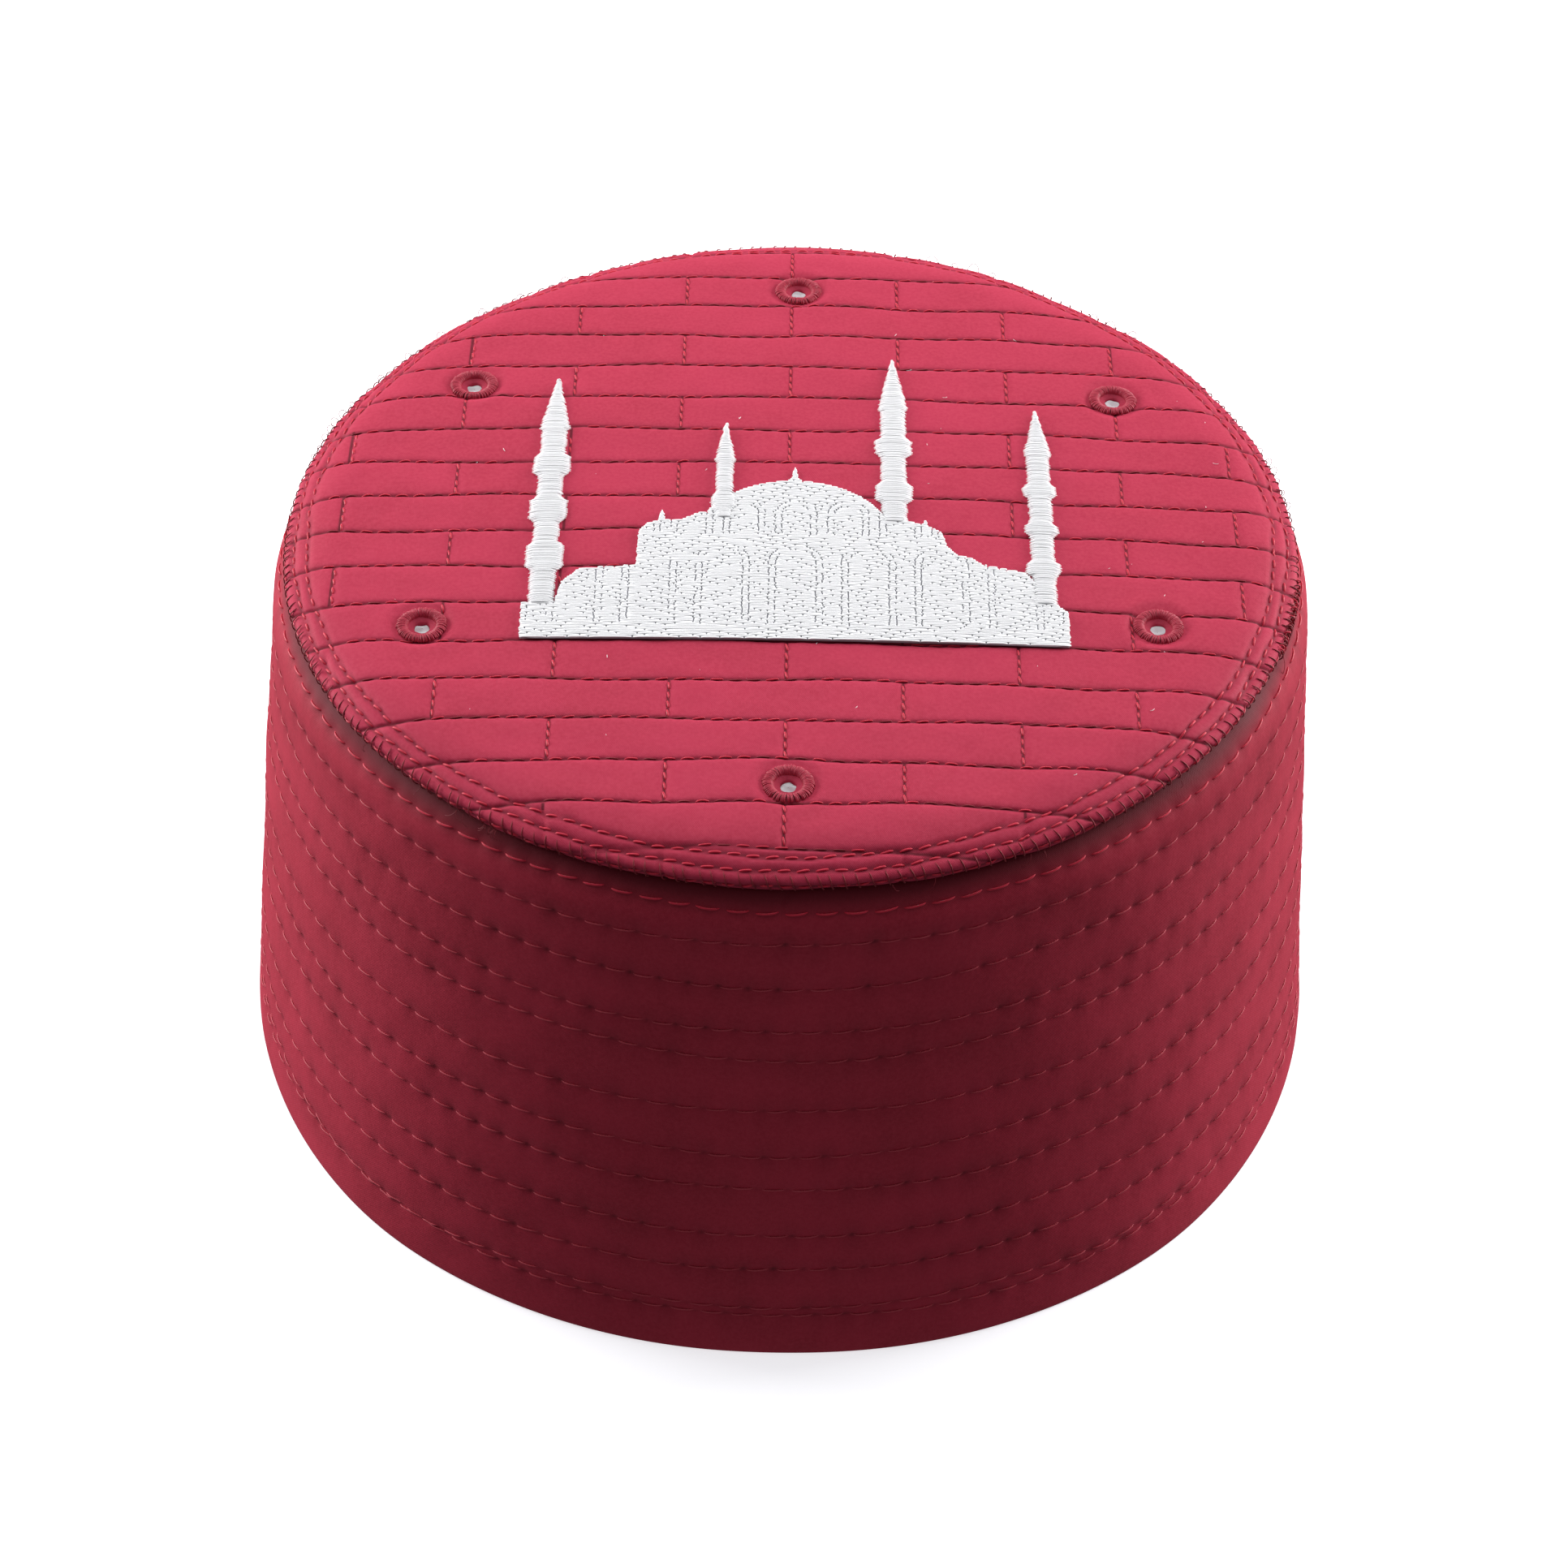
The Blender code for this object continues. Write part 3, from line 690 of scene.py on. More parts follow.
def turned_rows(line):
    """Grids of radius and height for a line of (radius, height) points turned about the axis."""
    line = np.array(line)
    radius = np.repeat(line[:, :1], WALL_COLUMNS, axis=1)
    height = np.repeat(line[:, 1:], WALL_COLUMNS, axis=1)
    return radius, height


levels = wall_levels()
turns = np.arange(WALL_COLUMNS) * math.tau / WALL_COLUMNS
turn_grid, level_grid = np.meshgrid(turns, levels)
out, wall_crease_shade = wall_relief(turn_grid, level_grid)
out = out + 0.0006 * front_fold(turn_grid, level_grid)
top_fade = np.clip((shoulder_top - level_grid) / 0.0012, 0.0, 1.0)
hem_fade = np.clip(level_grid / 0.003, 0.0, 1.0)
outer_radius = wall_radius(turn_grid, level_grid) + out * top_fade * hem_fade - 0.0003
# Painted shadow under the lip: a band at the top of the wall is darkened, deepest at the front.
facing_front = np.clip(0.25 - 1.4 * np.sin(turn_grid), 0.0, 1.0)
shade_depth = SIDE_LIP_SHADE + (FRONT_LIP_SHADE - SIDE_LIP_SHADE) * facing_front
under_lip_shade = np.clip((level_grid - (shoulder_top - shade_depth)) / shade_depth, 0.0, 1.0)
wall_crease_shade = np.maximum(wall_crease_shade, under_lip_shade ** 0.7)

hem_roll = [
    (HEM_RADIUS - WALL_THICKNESS, 0.0007),
    (HEM_RADIUS - 0.0017, 0.00008),
    (HEM_RADIUS - 0.0009, 0.00008),
    (HEM_RADIUS - 0.0004, 0.00045),
]
flange_radius = SHOULDER_TOP_RADIUS - FLANGE_WIDTH
inner_roll = [
    (SHOULDER_TOP_RADIUS - 0.0030, shoulder_top),
    (flange_radius, shoulder_top + 0.0001),
    (flange_radius - 0.0004, shoulder_top - 0.0012),
    (flange_radius, shoulder_top - 0.0024),
    (SHOULDER_TOP_RADIUS - 0.0020, shoulder_top - 0.0026),
    (SHOULDER_TOP_RADIUS + 0.0006, shoulder_top - 0.0034),
]
inner_wall = []
for share in np.linspace(1.0, 0.05, 8):
    outer = HEM_RADIUS + (SHOULDER_RADIUS - HEM_RADIUS) * share
    inner_wall.append((outer - WALL_THICKNESS, SHOULDER_HEIGHT * share))
hem_radius, hem_level = turned_rows(hem_roll)
inner_radius, inner_level = turned_rows(inner_roll + inner_wall)
inner_turn = np.repeat(turns[None, :], len(inner_level), axis=0)
dents = 0.00025 * ripples(inner_turn * HEM_RADIUS, inner_level, 0.022, 23)
inner_radius = inner_radius + dents * np.clip((SHOULDER_HEIGHT + 0.002 - inner_level) / 0.01, 0.0, 1.0)
inner_radius = inner_radius + wall_stray(inner_turn, inner_level)
hem_radius = hem_radius + wall_stray(np.repeat(turns[None, :], len(hem_level), axis=0), hem_level)

ring_radius = np.concatenate([hem_radius, outer_radius, inner_radius])
ring_level = np.concatenate([hem_level, level_grid, inner_level])
ring_turn = np.repeat(turns[None, :], len(ring_level), axis=0)
wall_points = np.stack([ring_radius * np.cos(ring_turn), ring_radius * np.sin(ring_turn), ring_level], axis=-1)
wall_faces = grid_faces(len(ring_level) + 1, WALL_COLUMNS, wrap=True)
point_count = len(ring_level) * WALL_COLUMNS
wall_faces = [[corner % point_count for corner in face] for face in wall_faces]
wall_cloth = make_piece("wall_cloth", wall_points.reshape(-1, 3), wall_faces, wall_finish,
                        "wall_cloth", ["side_wall"])
# The wall's painted shade, from its rows, needle holes and the lip's shadow, goes to the material.
ring_crease_shade = np.zeros(ring_radius.shape)
ring_crease_shade[len(hem_roll):len(hem_roll) + len(levels)] = wall_crease_shade
add_measure(wall_cloth, "crease", ring_crease_shade)

# %% [markdown]
# Running stitches are short grains of thread that dip into the cloth at both ends. On the wall they
# are 5 mm apart. Each one starts where the last one's hole is and lies a little aslant, because the
# next stitch pushes it aside. The top row, under the lip, is sewn in a brighter red.

# %% Stitches of the wall
STITCH_WIDTH = 0.00030
STITCH_STEPS = 7
stitch_draws = np.random.default_rng(29)
along_stitch = np.linspace(0.0, 1.0, STITCH_STEPS)


def wall_stitch_paths(row):
    """Paths and outward directions of one row's stitches."""
    number = np.arange(WALL_STITCH_COUNT)
    jitter = stitch_draws.uniform(-0.03, 0.03, (WALL_STITCH_COUNT, 2))
    length = stitch_draws.uniform(0.80, 0.92, WALL_STITCH_COUNT)
    start = number + 0.5 - length / 2 + jitter[:, 0]
    step = start[:, None] + length[:, None] * along_stitch[None, :]
    turn = (step - stitch_shift[row]) * math.tau / WALL_STITCH_COUNT
    height = row_height(row, turn)
    slant = stitch_draws.uniform(0.00002, 0.00024, WALL_STITCH_COUNT)[:, None]
    height = height + slant * (along_stitch - 0.5)[None, :] * 2
    arch = 0.00004 + 0.00026 * np.sin(math.pi * along_stitch) ** 0.6 - 0.00016
    out = wall_relief(turn, height)[0] + arch[None, :]
    radius = wall_radius(turn, height) + out - 0.0003
    paths = np.stack([radius * np.cos(turn), radius * np.sin(turn), height], axis=-1)
    ups = np.stack([np.cos(turn), np.sin(turn), np.zeros(turn.shape)], axis=-1)
    return paths, ups


wall_threads = []
for row in range(len(WALL_ROWS) - 1):
    paths, ups = wall_stitch_paths(row)
    width = STITCH_WIDTH * stitch_draws.uniform(0.75, 1.15, WALL_STITCH_COUNT)
    wall_threads.append(thread_mesh(paths, ups, width, 0.00024, sides=5))
make_piece("wall_stitches", *join_meshes(wall_threads), wall_thread, "red_thread")
paths, ups = wall_stitch_paths(len(WALL_ROWS) - 1)
make_piece("top_row_stitches", *thread_mesh(paths, ups, 0.00044, 0.00036, sides=6), bright_thread, "red_thread")

# %% [markdown]
# The mosque is drawn from a few shares of its own width and height: a roof line, a dome that is half
# an ellipse, four minarets and their finials. The machine embroidered the body in rows of
# long stitches, which can only be seen by where the needle went in, and the minarets in satin stitch,
# one thread close beside the next. So the outlines are cut by level lines, and every line gives the
# threads that lie on it.

# %% The mosque's outlines
MOSQUE_WIDTH = 0.0908
MOSQUE_HEIGHT = 0.0776
MOSQUE_FOOT_Y = -0.0334
MOSQUE_OFFSET_X = 0.0013
BALCONY_SLOPE = 0.008
Minaret = namedtuple("Minaret", "axis foot tip shaft balcony cone balconies")
Balcony = namedtuple("Balcony", "low high")
MINARETS = [
    Minaret(0.036, 0.112, 0.914, 0.049, 0.072, 0.187,
            [Balcony(0.228, 0.312), Balcony(0.393, 0.470), Balcony(0.558, 0.626)]),
    Minaret(0.364, 0.405, 0.748, 0.034, 0.050, 0.139,
            [Balcony(0.436, 0.484)]),
    Minaret(0.683, 0.400, 1.000, 0.049, 0.071, 0.190,
            [Balcony(0.472, 0.534), Balcony(0.639, 0.698)]),
    Minaret(0.957, 0.135, 0.817, 0.045, 0.066, 0.161,
            [Balcony(0.233, 0.276), Balcony(0.371, 0.405), Balcony(0.506, 0.545)]),
]
CONE_POINTS = [(0.0, 1.2), (0.45, 0.72), (1.0, 0.1)]
ROOF_LINE = [
    (0.000, 0.000), (0.000, 0.113), (0.060, 0.120), (0.070, 0.182), (0.100, 0.226), (0.205, 0.238),
    (0.206, 0.355), (0.222, 0.382), (0.252, 0.396), (0.285, 0.396), (0.318, 0.421), (0.705, 0.404),
    (0.745, 0.390), (0.772, 0.366), (0.780, 0.323), (0.798, 0.290), (0.825, 0.281), (0.845, 0.260),
    (0.925, 0.236), (0.975, 0.140), (1.000, 0.108), (1.000, 0.000),
]
DOME_AXIS, DOME_HALF_SPAN, DOME_FOOT, DOME_TOP = 0.497, 0.180, 0.350, 0.537
FINIALS = [(0.497, 0.026, 0.525, 0.556), (0.497, 0.008, 0.540, 0.606),
           (0.250, 0.009, 0.385, 0.443), (0.740, 0.009, 0.380, 0.414)]


def on_mosque(outline):
    """An outline in shares of the mosque as places on the crown."""
    return [(MOSQUE_OFFSET_X + (x - 0.5) * MOSQUE_WIDTH, MOSQUE_FOOT_Y + y * MOSQUE_HEIGHT) for x, y in outline]


def minaret_outline(minaret):
    half = minaret.shaft / 2
    wide = minaret.balcony / 2
    right = [(half, minaret.foot)]
    for balcony in minaret.balconies:
        right += [(half, balcony.low - BALCONY_SLOPE), (wide, balcony.low + BALCONY_SLOPE),
                  (wide, balcony.high - BALCONY_SLOPE), (half, balcony.high + BALCONY_SLOPE)]
    cone_foot = minaret.tip - minaret.cone
    right.append((half, cone_foot - BALCONY_SLOPE))
    right += [(half * out, cone_foot + minaret.cone * up) for up, out in CONE_POINTS]
    return [(minaret.axis + x, y) for x, y in right + [(-x, y) for x, y in reversed(right)]]


def dome_outline():
    angles = np.linspace(0.0, math.pi, 41)
    return [(DOME_AXIS + DOME_HALF_SPAN * math.cos(angle),
             DOME_FOOT + (DOME_TOP - DOME_FOOT) * math.sin(angle)) for angle in angles]


body_outlines = [on_mosque(ROOF_LINE), on_mosque(dome_outline())]
body_outlines += [on_mosque([(axis - half, foot), (axis + half, foot), (axis, tip)])
                  for axis, half, foot, tip in FINIALS]
minaret_outlines = [on_mosque(minaret_outline(minaret)) for minaret in MINARETS]


def spans_at(outlines, y):
    """Stretches of the level line at y that lie inside any of the outlines."""
    found = []
    for outline in outlines:
        crossings = []
        for (x0, y0), (x1, y1) in zip(outline, outline[1:] + outline[:1]):
            if (y0 <= y) != (y1 <= y):
                crossings.append(x0 + (x1 - x0) * (y - y0) / (y1 - y0))
        crossings.sort()
        found += zip(crossings[::2], crossings[1::2])
    joined = []
    for start, end in sorted(found):
        if joined and start <= joined[-1][1] + 0.0001:
            joined[-1][1] = max(joined[-1][1], end)
        else:
            joined.append([start, end])
    return joined


def under_mosque(x, y, margin=0.0004):
    spans = spans_at(body_outlines + minaret_outlines, y)
    return any(start - margin < x < end + margin for start, end in spans)


# %% [markdown]
# Row after row of long white stitches fills the mosque's body. The needle comes down about every
# 3.6 mm, shifted by the golden share of that from row to row, so that the holes scatter, and a third
# of the holes close up and don't show. Where a motif is wanted, the needle comes down on the motif's
# line instead: here two rows of plain arches, each drawn by a double line of holes.

# %% Embroidery of the body
ROW_STEP = 0.00042
FILL_STITCH = 0.0036
FILL_LIFT = 0.00058
ARCH_STEP = 0.0122
ARCH_HALF = 0.0034
ARCH_SPRING = -0.0140
SMALL_ARCH_SPRING = -0.0010
DOUBLE_LINE = 0.0011
GOLDEN_SHARE = 0.618
MOTIF_SHARE = 0.6
SEEN_SHARE = 0.65
fill_draws = np.random.default_rng(41)


def arch_crossings(y):
    """Where the double lines of the arches cross the level line at y."""
    found = []
    for foot, spring, half, step in ((-0.0300, ARCH_SPRING, ARCH_HALF, ARCH_STEP),
                                     (-0.0068, SMALL_ARCH_SPRING, 0.0024, 0.0088)):
        for number in range(-4, 5):
            middle = MOSQUE_OFFSET_X + number * step
            for grow in (0.0, DOUBLE_LINE):
                width = half + grow
                if foot < y <= spring:
                    found += [middle - width, middle + width]
                elif spring < y < spring + width:
                    reach = math.sqrt(width ** 2 - (y - spring) ** 2)
                    found += [middle - reach, middle + reach]
    return sorted(found)


def needle_places(start, end, row):
    """Ends of the stitches on one stretch of a row, from its start to its end."""
    y = MOSQUE_FOOT_Y + row * ROW_STEP
    motif = [x + fill_draws.uniform(-0.00012, 0.00012) for x in arch_crossings(y)
             if start + 0.0006 < x < end - 0.0006 and fill_draws.uniform() < MOTIF_SHARE]
    shift = (row * GOLDEN_SHARE % 1.0) * FILL_STITCH
    first = math.ceil((start - shift) / FILL_STITCH)
    plain = []
    while first * FILL_STITCH + shift < end - 0.0008:
        place = first * FILL_STITCH + shift + fill_draws.uniform(-0.0004, 0.0004)
        seen = fill_draws.uniform() < SEEN_SHARE
        if seen and place > start + 0.0008 and all(abs(place - x) > 0.0007 for x in motif):
            plain.append(place)
        first += 1
    return [start] + sorted(plain + motif) + [end]


def level_threads(stretches, lift, arch, droop):
    """Paths along X for (start, end, y) stretches: raised in the middle by arch, sunk at the ends by droop."""
    stretches = np.array(stretches)
    share = np.linspace(0.0, 1.0, 6)
    x = stretches[:, :1] + (stretches[:, 1:2] - stretches[:, :1]) * share[None, :]
    y = np.repeat(stretches[:, 2:3], len(share), axis=1)
    hump = np.sin(math.pi * share)[None, :]
    height = lift + arch * hump - droop * (1 - hump) ** 4
    paths, ups = on_crown(x, y, height)
    return paths, ups


fill_stitches = []
underlay = []
row_count = int(MOSQUE_HEIGHT / ROW_STEP)
for row in range(row_count + 1):
    y = MOSQUE_FOOT_Y + (row + 0.5) * ROW_STEP
    for start, end in spans_at(body_outlines, y):
        if end - start < 0.0005:
            continue
        ragged = fill_draws.uniform(-0.00012, 0.00012, 2)
        places = needle_places(start + ragged[0], end + ragged[1], row)
        underlay.append((start + 0.0003, end - 0.0003, y))
        fill_stitches += [(near + 0.00011, far - 0.00011, y) for near, far in zip(places, places[1:])]
paths, ups = level_threads(fill_stitches, FILL_LIFT, 0.0, 0.00005)
fill_width = fill_draws.uniform(0.00048, 0.00056, len(fill_stitches))
make_piece("mosque_fill", *thread_mesh(paths, ups, fill_width, 0.00017, sides=6, blunt=0.75), white_thread,
           "white_thread", ["mosque_embroidery"])
# The underlay takes white thread painted grey: painted shade where it shows between the fill stitches.
under_paths, under_ups = level_threads(underlay, FILL_LIFT - 0.00030, 0.0, 0.0)
make_piece("mosque_underlay", *thread_mesh(under_paths, under_ups, 0.00062, 0.00050, sides=4, blunt=0.8),
           shaded_underlay_thread, "white_thread")
print(len(fill_stitches), "stitches in the mosque's body")

# %% [markdown]
# The minarets stand a little proud of the body. Each satin thread spans its whole width and
# arches over a padding of its own, so its sheen changes from edge to edge.

# %% Satin minarets
SATIN_STEP = 0.00036
satin_draws = np.random.default_rng(43)
satin = []
for outline in minaret_outlines:
    lowest = min(y for x, y in outline)
    highest = max(y for x, y in outline)
    for number in range(int((highest - lowest) / SATIN_STEP)):
        y = lowest + (number + 0.5) * SATIN_STEP
        for start, end in spans_at([outline], y):
            ragged = satin_draws.uniform(-0.00016, 0.00016, 2)
            satin.append((start + ragged[0], end + ragged[1], y + satin_draws.uniform(-0.00004, 0.00004)))
satin_arch = 0.00016 + satin_draws.uniform(-0.00005, 0.00005, (len(satin), 1))
paths, ups = level_threads(satin, FILL_LIFT + 0.00004, satin_arch, 0.00026)
satin_width = satin_draws.uniform(0.00034, 0.00046, len(satin))
satin_mesh = thread_mesh(paths, ups, satin_width, 0.00026, sides=6, blunt=0.4)
under_paths, under_ups = level_threads([(start + 0.0003, end - 0.0003, y) for start, end, y in satin if end - start > 0.0009],
                                       FILL_LIFT - 0.00030, 0.00012, 0.0)
under_mesh = thread_mesh(under_paths, under_ups, 0.00056, 0.00060, sides=4, blunt=0.8)
make_piece("mosque_minarets", *join_meshes([satin_mesh, under_mesh]), white_thread, "white_thread")
print(len(satin), "satin threads")

# %% [markdown]
# The crown's stitches are 3 mm apart and lie in the channels of the quilting. Along the rows the
# thread is sunk, and part of it is in a darker red that also paints the shade of the channels, with a
# brighter stitch here and there. The joints and the lines round the lip were sewn tighter, with bright
# thread on top. No stitch is sewn through the mosque or an eyelet.

# %% Stitches of the crown
crown_draws = np.random.default_rng(53)
BESIDE_LINE = 0.00013


def free_cloth(x, y):
    near_eyelet = any(math.hypot(x - place[0], y - place[1]) < EYELET_RADIUS for place in eyelet_places)
    return not near_eyelet and not under_mosque(x, y)


def straight_stitches(starts, ends, lift, slant):
    """Stitches from starts to ends, places on the flat cloth, arching over the channel's floor."""
    starts, ends = np.array(starts), np.array(ends)
    share = along_stitch[None, :, None]
    flat = starts[:, None, :] * (1 - share) + ends[:, None, :] * share
    run = ends - starts
    aside = np.stack([-run[:, 1], run[:, 0]], axis=-1) / np.linalg.norm(run, axis=-1, keepdims=True)
    lean = crown_draws.uniform(0.3, 1.0, len(starts)) * slant
    flat = flat + aside[:, None, :] * (lean[:, None] * (along_stitch - 0.5)[None, :] * 2)[..., None]
    x, y = flat[..., 0], flat[..., 1]
    arch = lift * (np.sin(math.pi * along_stitch) ** 0.6 - 0.55)
    return on_crown(x, y, crown_relief(x, y)[0] + arch[None, :])


row_stitches, joint_stitches = [], []
quilt_reach = ring_lengths[0] - 0.0006
rows = int(quilt_reach / BRICK_PITCH) + 1
for row in range(-rows, rows + 1):
    line = (row + 0.5) * BRICK_PITCH
    if abs(line) < quilt_reach:
        half = math.sqrt(quilt_reach ** 2 - line ** 2)
        place = -half + crown_draws.uniform(0.0, CROWN_STITCH)
        while place < half - CROWN_STITCH:
            end = place + CROWN_STITCH * 0.86
            near = (place, line + row_wobble(place, row))
            far = (end, line + row_wobble(end, row))
            if free_cloth(*near) and free_cloth(*far):
                row_stitches.append(((near[0], near[1] + BESIDE_LINE), (far[0], far[1] + BESIDE_LINE)))
            place += CROWN_STITCH
    for column in range(-5, 6):
        x = column * BRICK_LENGTH / 2
        if (row + column) % 2:
            continue
        for number in range(4):
            low = (row - 0.5) * BRICK_PITCH + 0.0003 + number * (BRICK_PITCH - 0.0006) / 4
            high = low + (BRICK_PITCH - 0.0006) / 4 * 0.9
            inside = max(math.hypot(x, low), math.hypot(x, high)) < quilt_reach
            if inside and free_cloth(x, low) and free_cloth(x, high):
                joint_stitches.append(((x, low), (x, high)))


def stitches_piece(name, stitches, width, height, lift, slant, material):
    paths, ups = straight_stitches([near for near, far in stitches], [far for near, far in stitches], lift, slant)
    make_piece(name, *thread_mesh(paths, ups, width, height, sides=5), material, "red_thread")


# Part of the row stitches take the darker red thread, in part painted shade of their sinking into the channels.
bright = crown_draws.uniform(0.0, 1.0, len(row_stitches)) < 0.6
stitches_piece("row_stitches", [s for s, b in zip(row_stitches, bright) if not b],
               0.00028, 0.00024, 0.00026, 0.00010, dark_and_shaded_thread)
stitches_piece("row_stitches_bright", [s for s, b in zip(row_stitches, bright) if b],
               0.00030, 0.00028, 0.00040, 0.00016, bright_thread)
stitches_piece("joint_stitches", joint_stitches, 0.00040, 0.00036, 0.00044, 0.00024, bright_thread)

# %% Stitches round the lip
ring_stitches = []
for ring, ring_length in enumerate(ring_lengths):
    radius = RING_RADII[min(ring, 2)]
    count = round(math.tau * radius / CROWN_STITCH)
    for number in range(count):
        turn = (number + 0.37 * ring) * math.tau / count
        share = turn + math.tau / count * 0.84
        stray = [ring_length + 0.00015 * math.sin(t * 23 + ring * 2) + 0.0001 * math.sin(t * 61 + ring)
                 for t in (turn, share)]
        near = (stray[0] * math.cos(turn), stray[0] * math.sin(turn))
        far = (stray[1] * math.cos(share), stray[1] * math.sin(share))
        ring_stitches.append((near, far))
stitches_piece("ring_stitches", ring_stitches, 0.00042, 0.00036, 0.00046, 0.00022, bright_thread)

# %% [markdown]
# Six eyelets let air through the crown. Each is worked in red thread: some seventy radial stitches
# over the cut edge, close enough to make a ring. Inside the ring the cloth dips to the small hole,
# and the pale lining shows at its bottom.

# %% Eyelets
EYELET_THREADS = 74
EYELET_INNER = 0.0024
HOLE_RADIUS = 0.00130
ring_section = [(EYELET_INNER - 0.00010, -0.00065), (EYELET_INNER + 0.00010, -0.00010), (0.00290, 0.00022),
                (0.00345, 0.00028), (0.00392, 0.00010), (EYELET_RADIUS + 0.00008, -0.00028)]
eyelet_draws = np.random.default_rng(67)


def eyelet_frame(place):
    """Origin and axes of the crown's surface at an eyelet."""
    origin, normal = on_crown(np.array(place[0]), np.array(place[1]), 0.0)
    east = unit(np.cross(np.array([0.0, 1.0, 0.0]), normal))
    north = np.cross(normal, east)
    return origin, east, north, normal


def eyelet_ring(place):
    origin, east, north, normal = eyelet_frame(place)
    turn = (np.arange(EYELET_THREADS) + eyelet_draws.uniform(-0.22, 0.22, EYELET_THREADS)) * math.tau / EYELET_THREADS
    lean = eyelet_draws.uniform(-0.02, 0.05, EYELET_THREADS)
    section = cut_corners(ring_section, 1)
    share = np.linspace(0.0, 1.0, len(section))
    spin = turn[:, None] + lean[:, None] * share[None, :]
    reach = section[None, :, 0] + eyelet_draws.uniform(-0.00009, 0.00009, (EYELET_THREADS, 1)) * share[None, :]
    lift = section[None, :, 1] + eyelet_draws.uniform(-0.00004, 0.00004, (EYELET_THREADS, 1))
    spokes = np.cos(spin)[..., None] * east + np.sin(spin)[..., None] * north
    paths = origin + spokes * reach[..., None] + lift[..., None] * normal
    slope = np.gradient(section[:, 1]) / np.maximum(np.abs(np.gradient(section[:, 0])), 1e-6)
    ups = normal - spokes * np.clip(slope, -3.0, 3.0)[None, :, None]
    return thread_mesh(paths, unit(ups), 0.00034, 0.00030, sides=5, blunt=0.6)


def eyelet_cup(place):
    """The cloth inside the ring, from under the threads down through the hole."""
    origin, east, north, normal = eyelet_frame(place)
    section = cut_corners([(0.00335, -0.00010), (0.00270, -0.00025), (0.00230, -0.00045), (0.00185, -0.00060),
                           (HOLE_RADIUS, -0.00080), (HOLE_RADIUS - 0.00006, -0.00120),
                           (HOLE_RADIUS + 0.0001, -0.00440)], 2)
    turn = np.arange(36) * math.tau / 36
    uneven = 1.0 + 0.03 * np.sin(turn * 5 + place[0] * 900) + 0.025 * np.sin(turn * 3 + place[1] * 700)
    spokes = np.cos(turn)[:, None] * east + np.sin(turn)[:, None] * north
    reach = section[:, None, :1] * uneven[None, :, None]
    points = origin + spokes[None] * reach + section[:, None, 1:] * normal
    return points.reshape(-1, 3), [list(reversed(face)) for face in grid_faces(len(section), len(turn), wrap=True)]


for eyelet, place in zip(EYELETS, eyelet_places):
    make_piece("eyelet_" + eyelet + "_threads", *eyelet_ring(place), eyelet_thread, "red_thread",
               ["eyelet_" + eyelet])
cups = join_meshes([eyelet_cup(place) for place in eyelet_places])
eyelet_cups = make_piece("eyelet_cups", *cups, crown_finish, "crown_cloth")
# Painted shade: the eyelet cups are darkened evenly, a quarter of the way to the crease shade colour.
add_measure(eyelet_cups, "crease", np.full(len(cups[0]), 0.25))


def eyelet_floor(place):
    """The lining that the stitches draw up under the hole."""
    origin, east, north, normal = eyelet_frame(place)
    reach, turn = np.meshgrid(np.linspace(0.00005, 0.0024, 9), np.arange(30) * math.tau / 30, indexing="ij")
    x, y = reach * np.cos(turn), reach * np.sin(turn)
    depth = -0.00115 - 0.9 * np.maximum(reach - 0.0013, 0.0) + 0.00022 * ripples(x + place[0], y + place[1], 0.0021, 83)
    points = origin + x[..., None] * east + y[..., None] * north + depth[..., None] * normal
    return points.reshape(-1, 3), [list(reversed(face)) for face in grid_faces(9, 30, wrap=True)]

# %% [markdown]
# The lining is a thin pale cloth under the crown's padding. From above only six small spots of it
# show. From below it is the whole inside of the crown, so it gets the light puckers of a cloth that
# is held by the quilting.

# %% Lining
lining_finish = Finish("pale lining cloth", Sheen_Weight=0.15)
place = lining_finish.place()
x, y, z = lining_finish.parts(place)
patch = lining_finish.noise(place, 0.012, 3.0)
grain = lining_finish.noise(place, 0.0008, 2.0)
lining_colour = lining_finish.blend(patch, (0.70, 0.70, 0.73, 1), (0.86, 0.86, 0.88, 1))
lining_bump = lining_finish.bump(weave(lining_finish, x, y) * 0.4 + grain, 0.4, 0.00012)
lining_finish.finish(lining_colour, 0.80 + 0.1 * grain, lining_bump)

LINING_RINGS = 44
lining_spokes = np.arange(160) * math.tau / 160


def lining_side(lift, inner_first):
    radii = np.linspace(0.0006, LINING_RADIUS, LINING_RINGS)
    radii = radii if inner_first else radii[::-1]
    radius, turn = np.meshgrid(radii, lining_spokes, indexing="ij")
    x, y = radius * np.cos(turn), radius * np.sin(turn)
    to_row, row = row_distance(x, y)
    pucker = 0.00030 * bump_at(to_row, 0.0012) + 0.00012 * ripples(x, y, 0.012, 71)
    edge = np.clip((LINING_RADIUS - radius) / 0.003, 0.0, 1.0)
    height = dome_height(radius) - CROWN_THICKNESS - SEAM_GAP + lift + pucker * edge
    return np.stack([x, y, height], axis=-1)


lining_points = np.concatenate([lining_side(-0.0004, True), lining_side(-0.0010, False)])
lining_faces = grid_faces(len(lining_points), len(lining_spokes), wrap=True)
last_ring = (len(lining_points) - 1) * len(lining_spokes)
lining_faces += [list(range(len(lining_spokes)))[::-1], [last_ring + n for n in range(len(lining_spokes))]]
make_piece("lining_cloth", lining_points.reshape(-1, 3), lining_faces, lining_finish.material,
           "lining_cloth", ["crown_lining"])
floors = join_meshes([eyelet_floor(place) for place in eyelet_places])
make_piece("lining_at_eyelets", *floors, lining_finish.material, "lining_cloth")

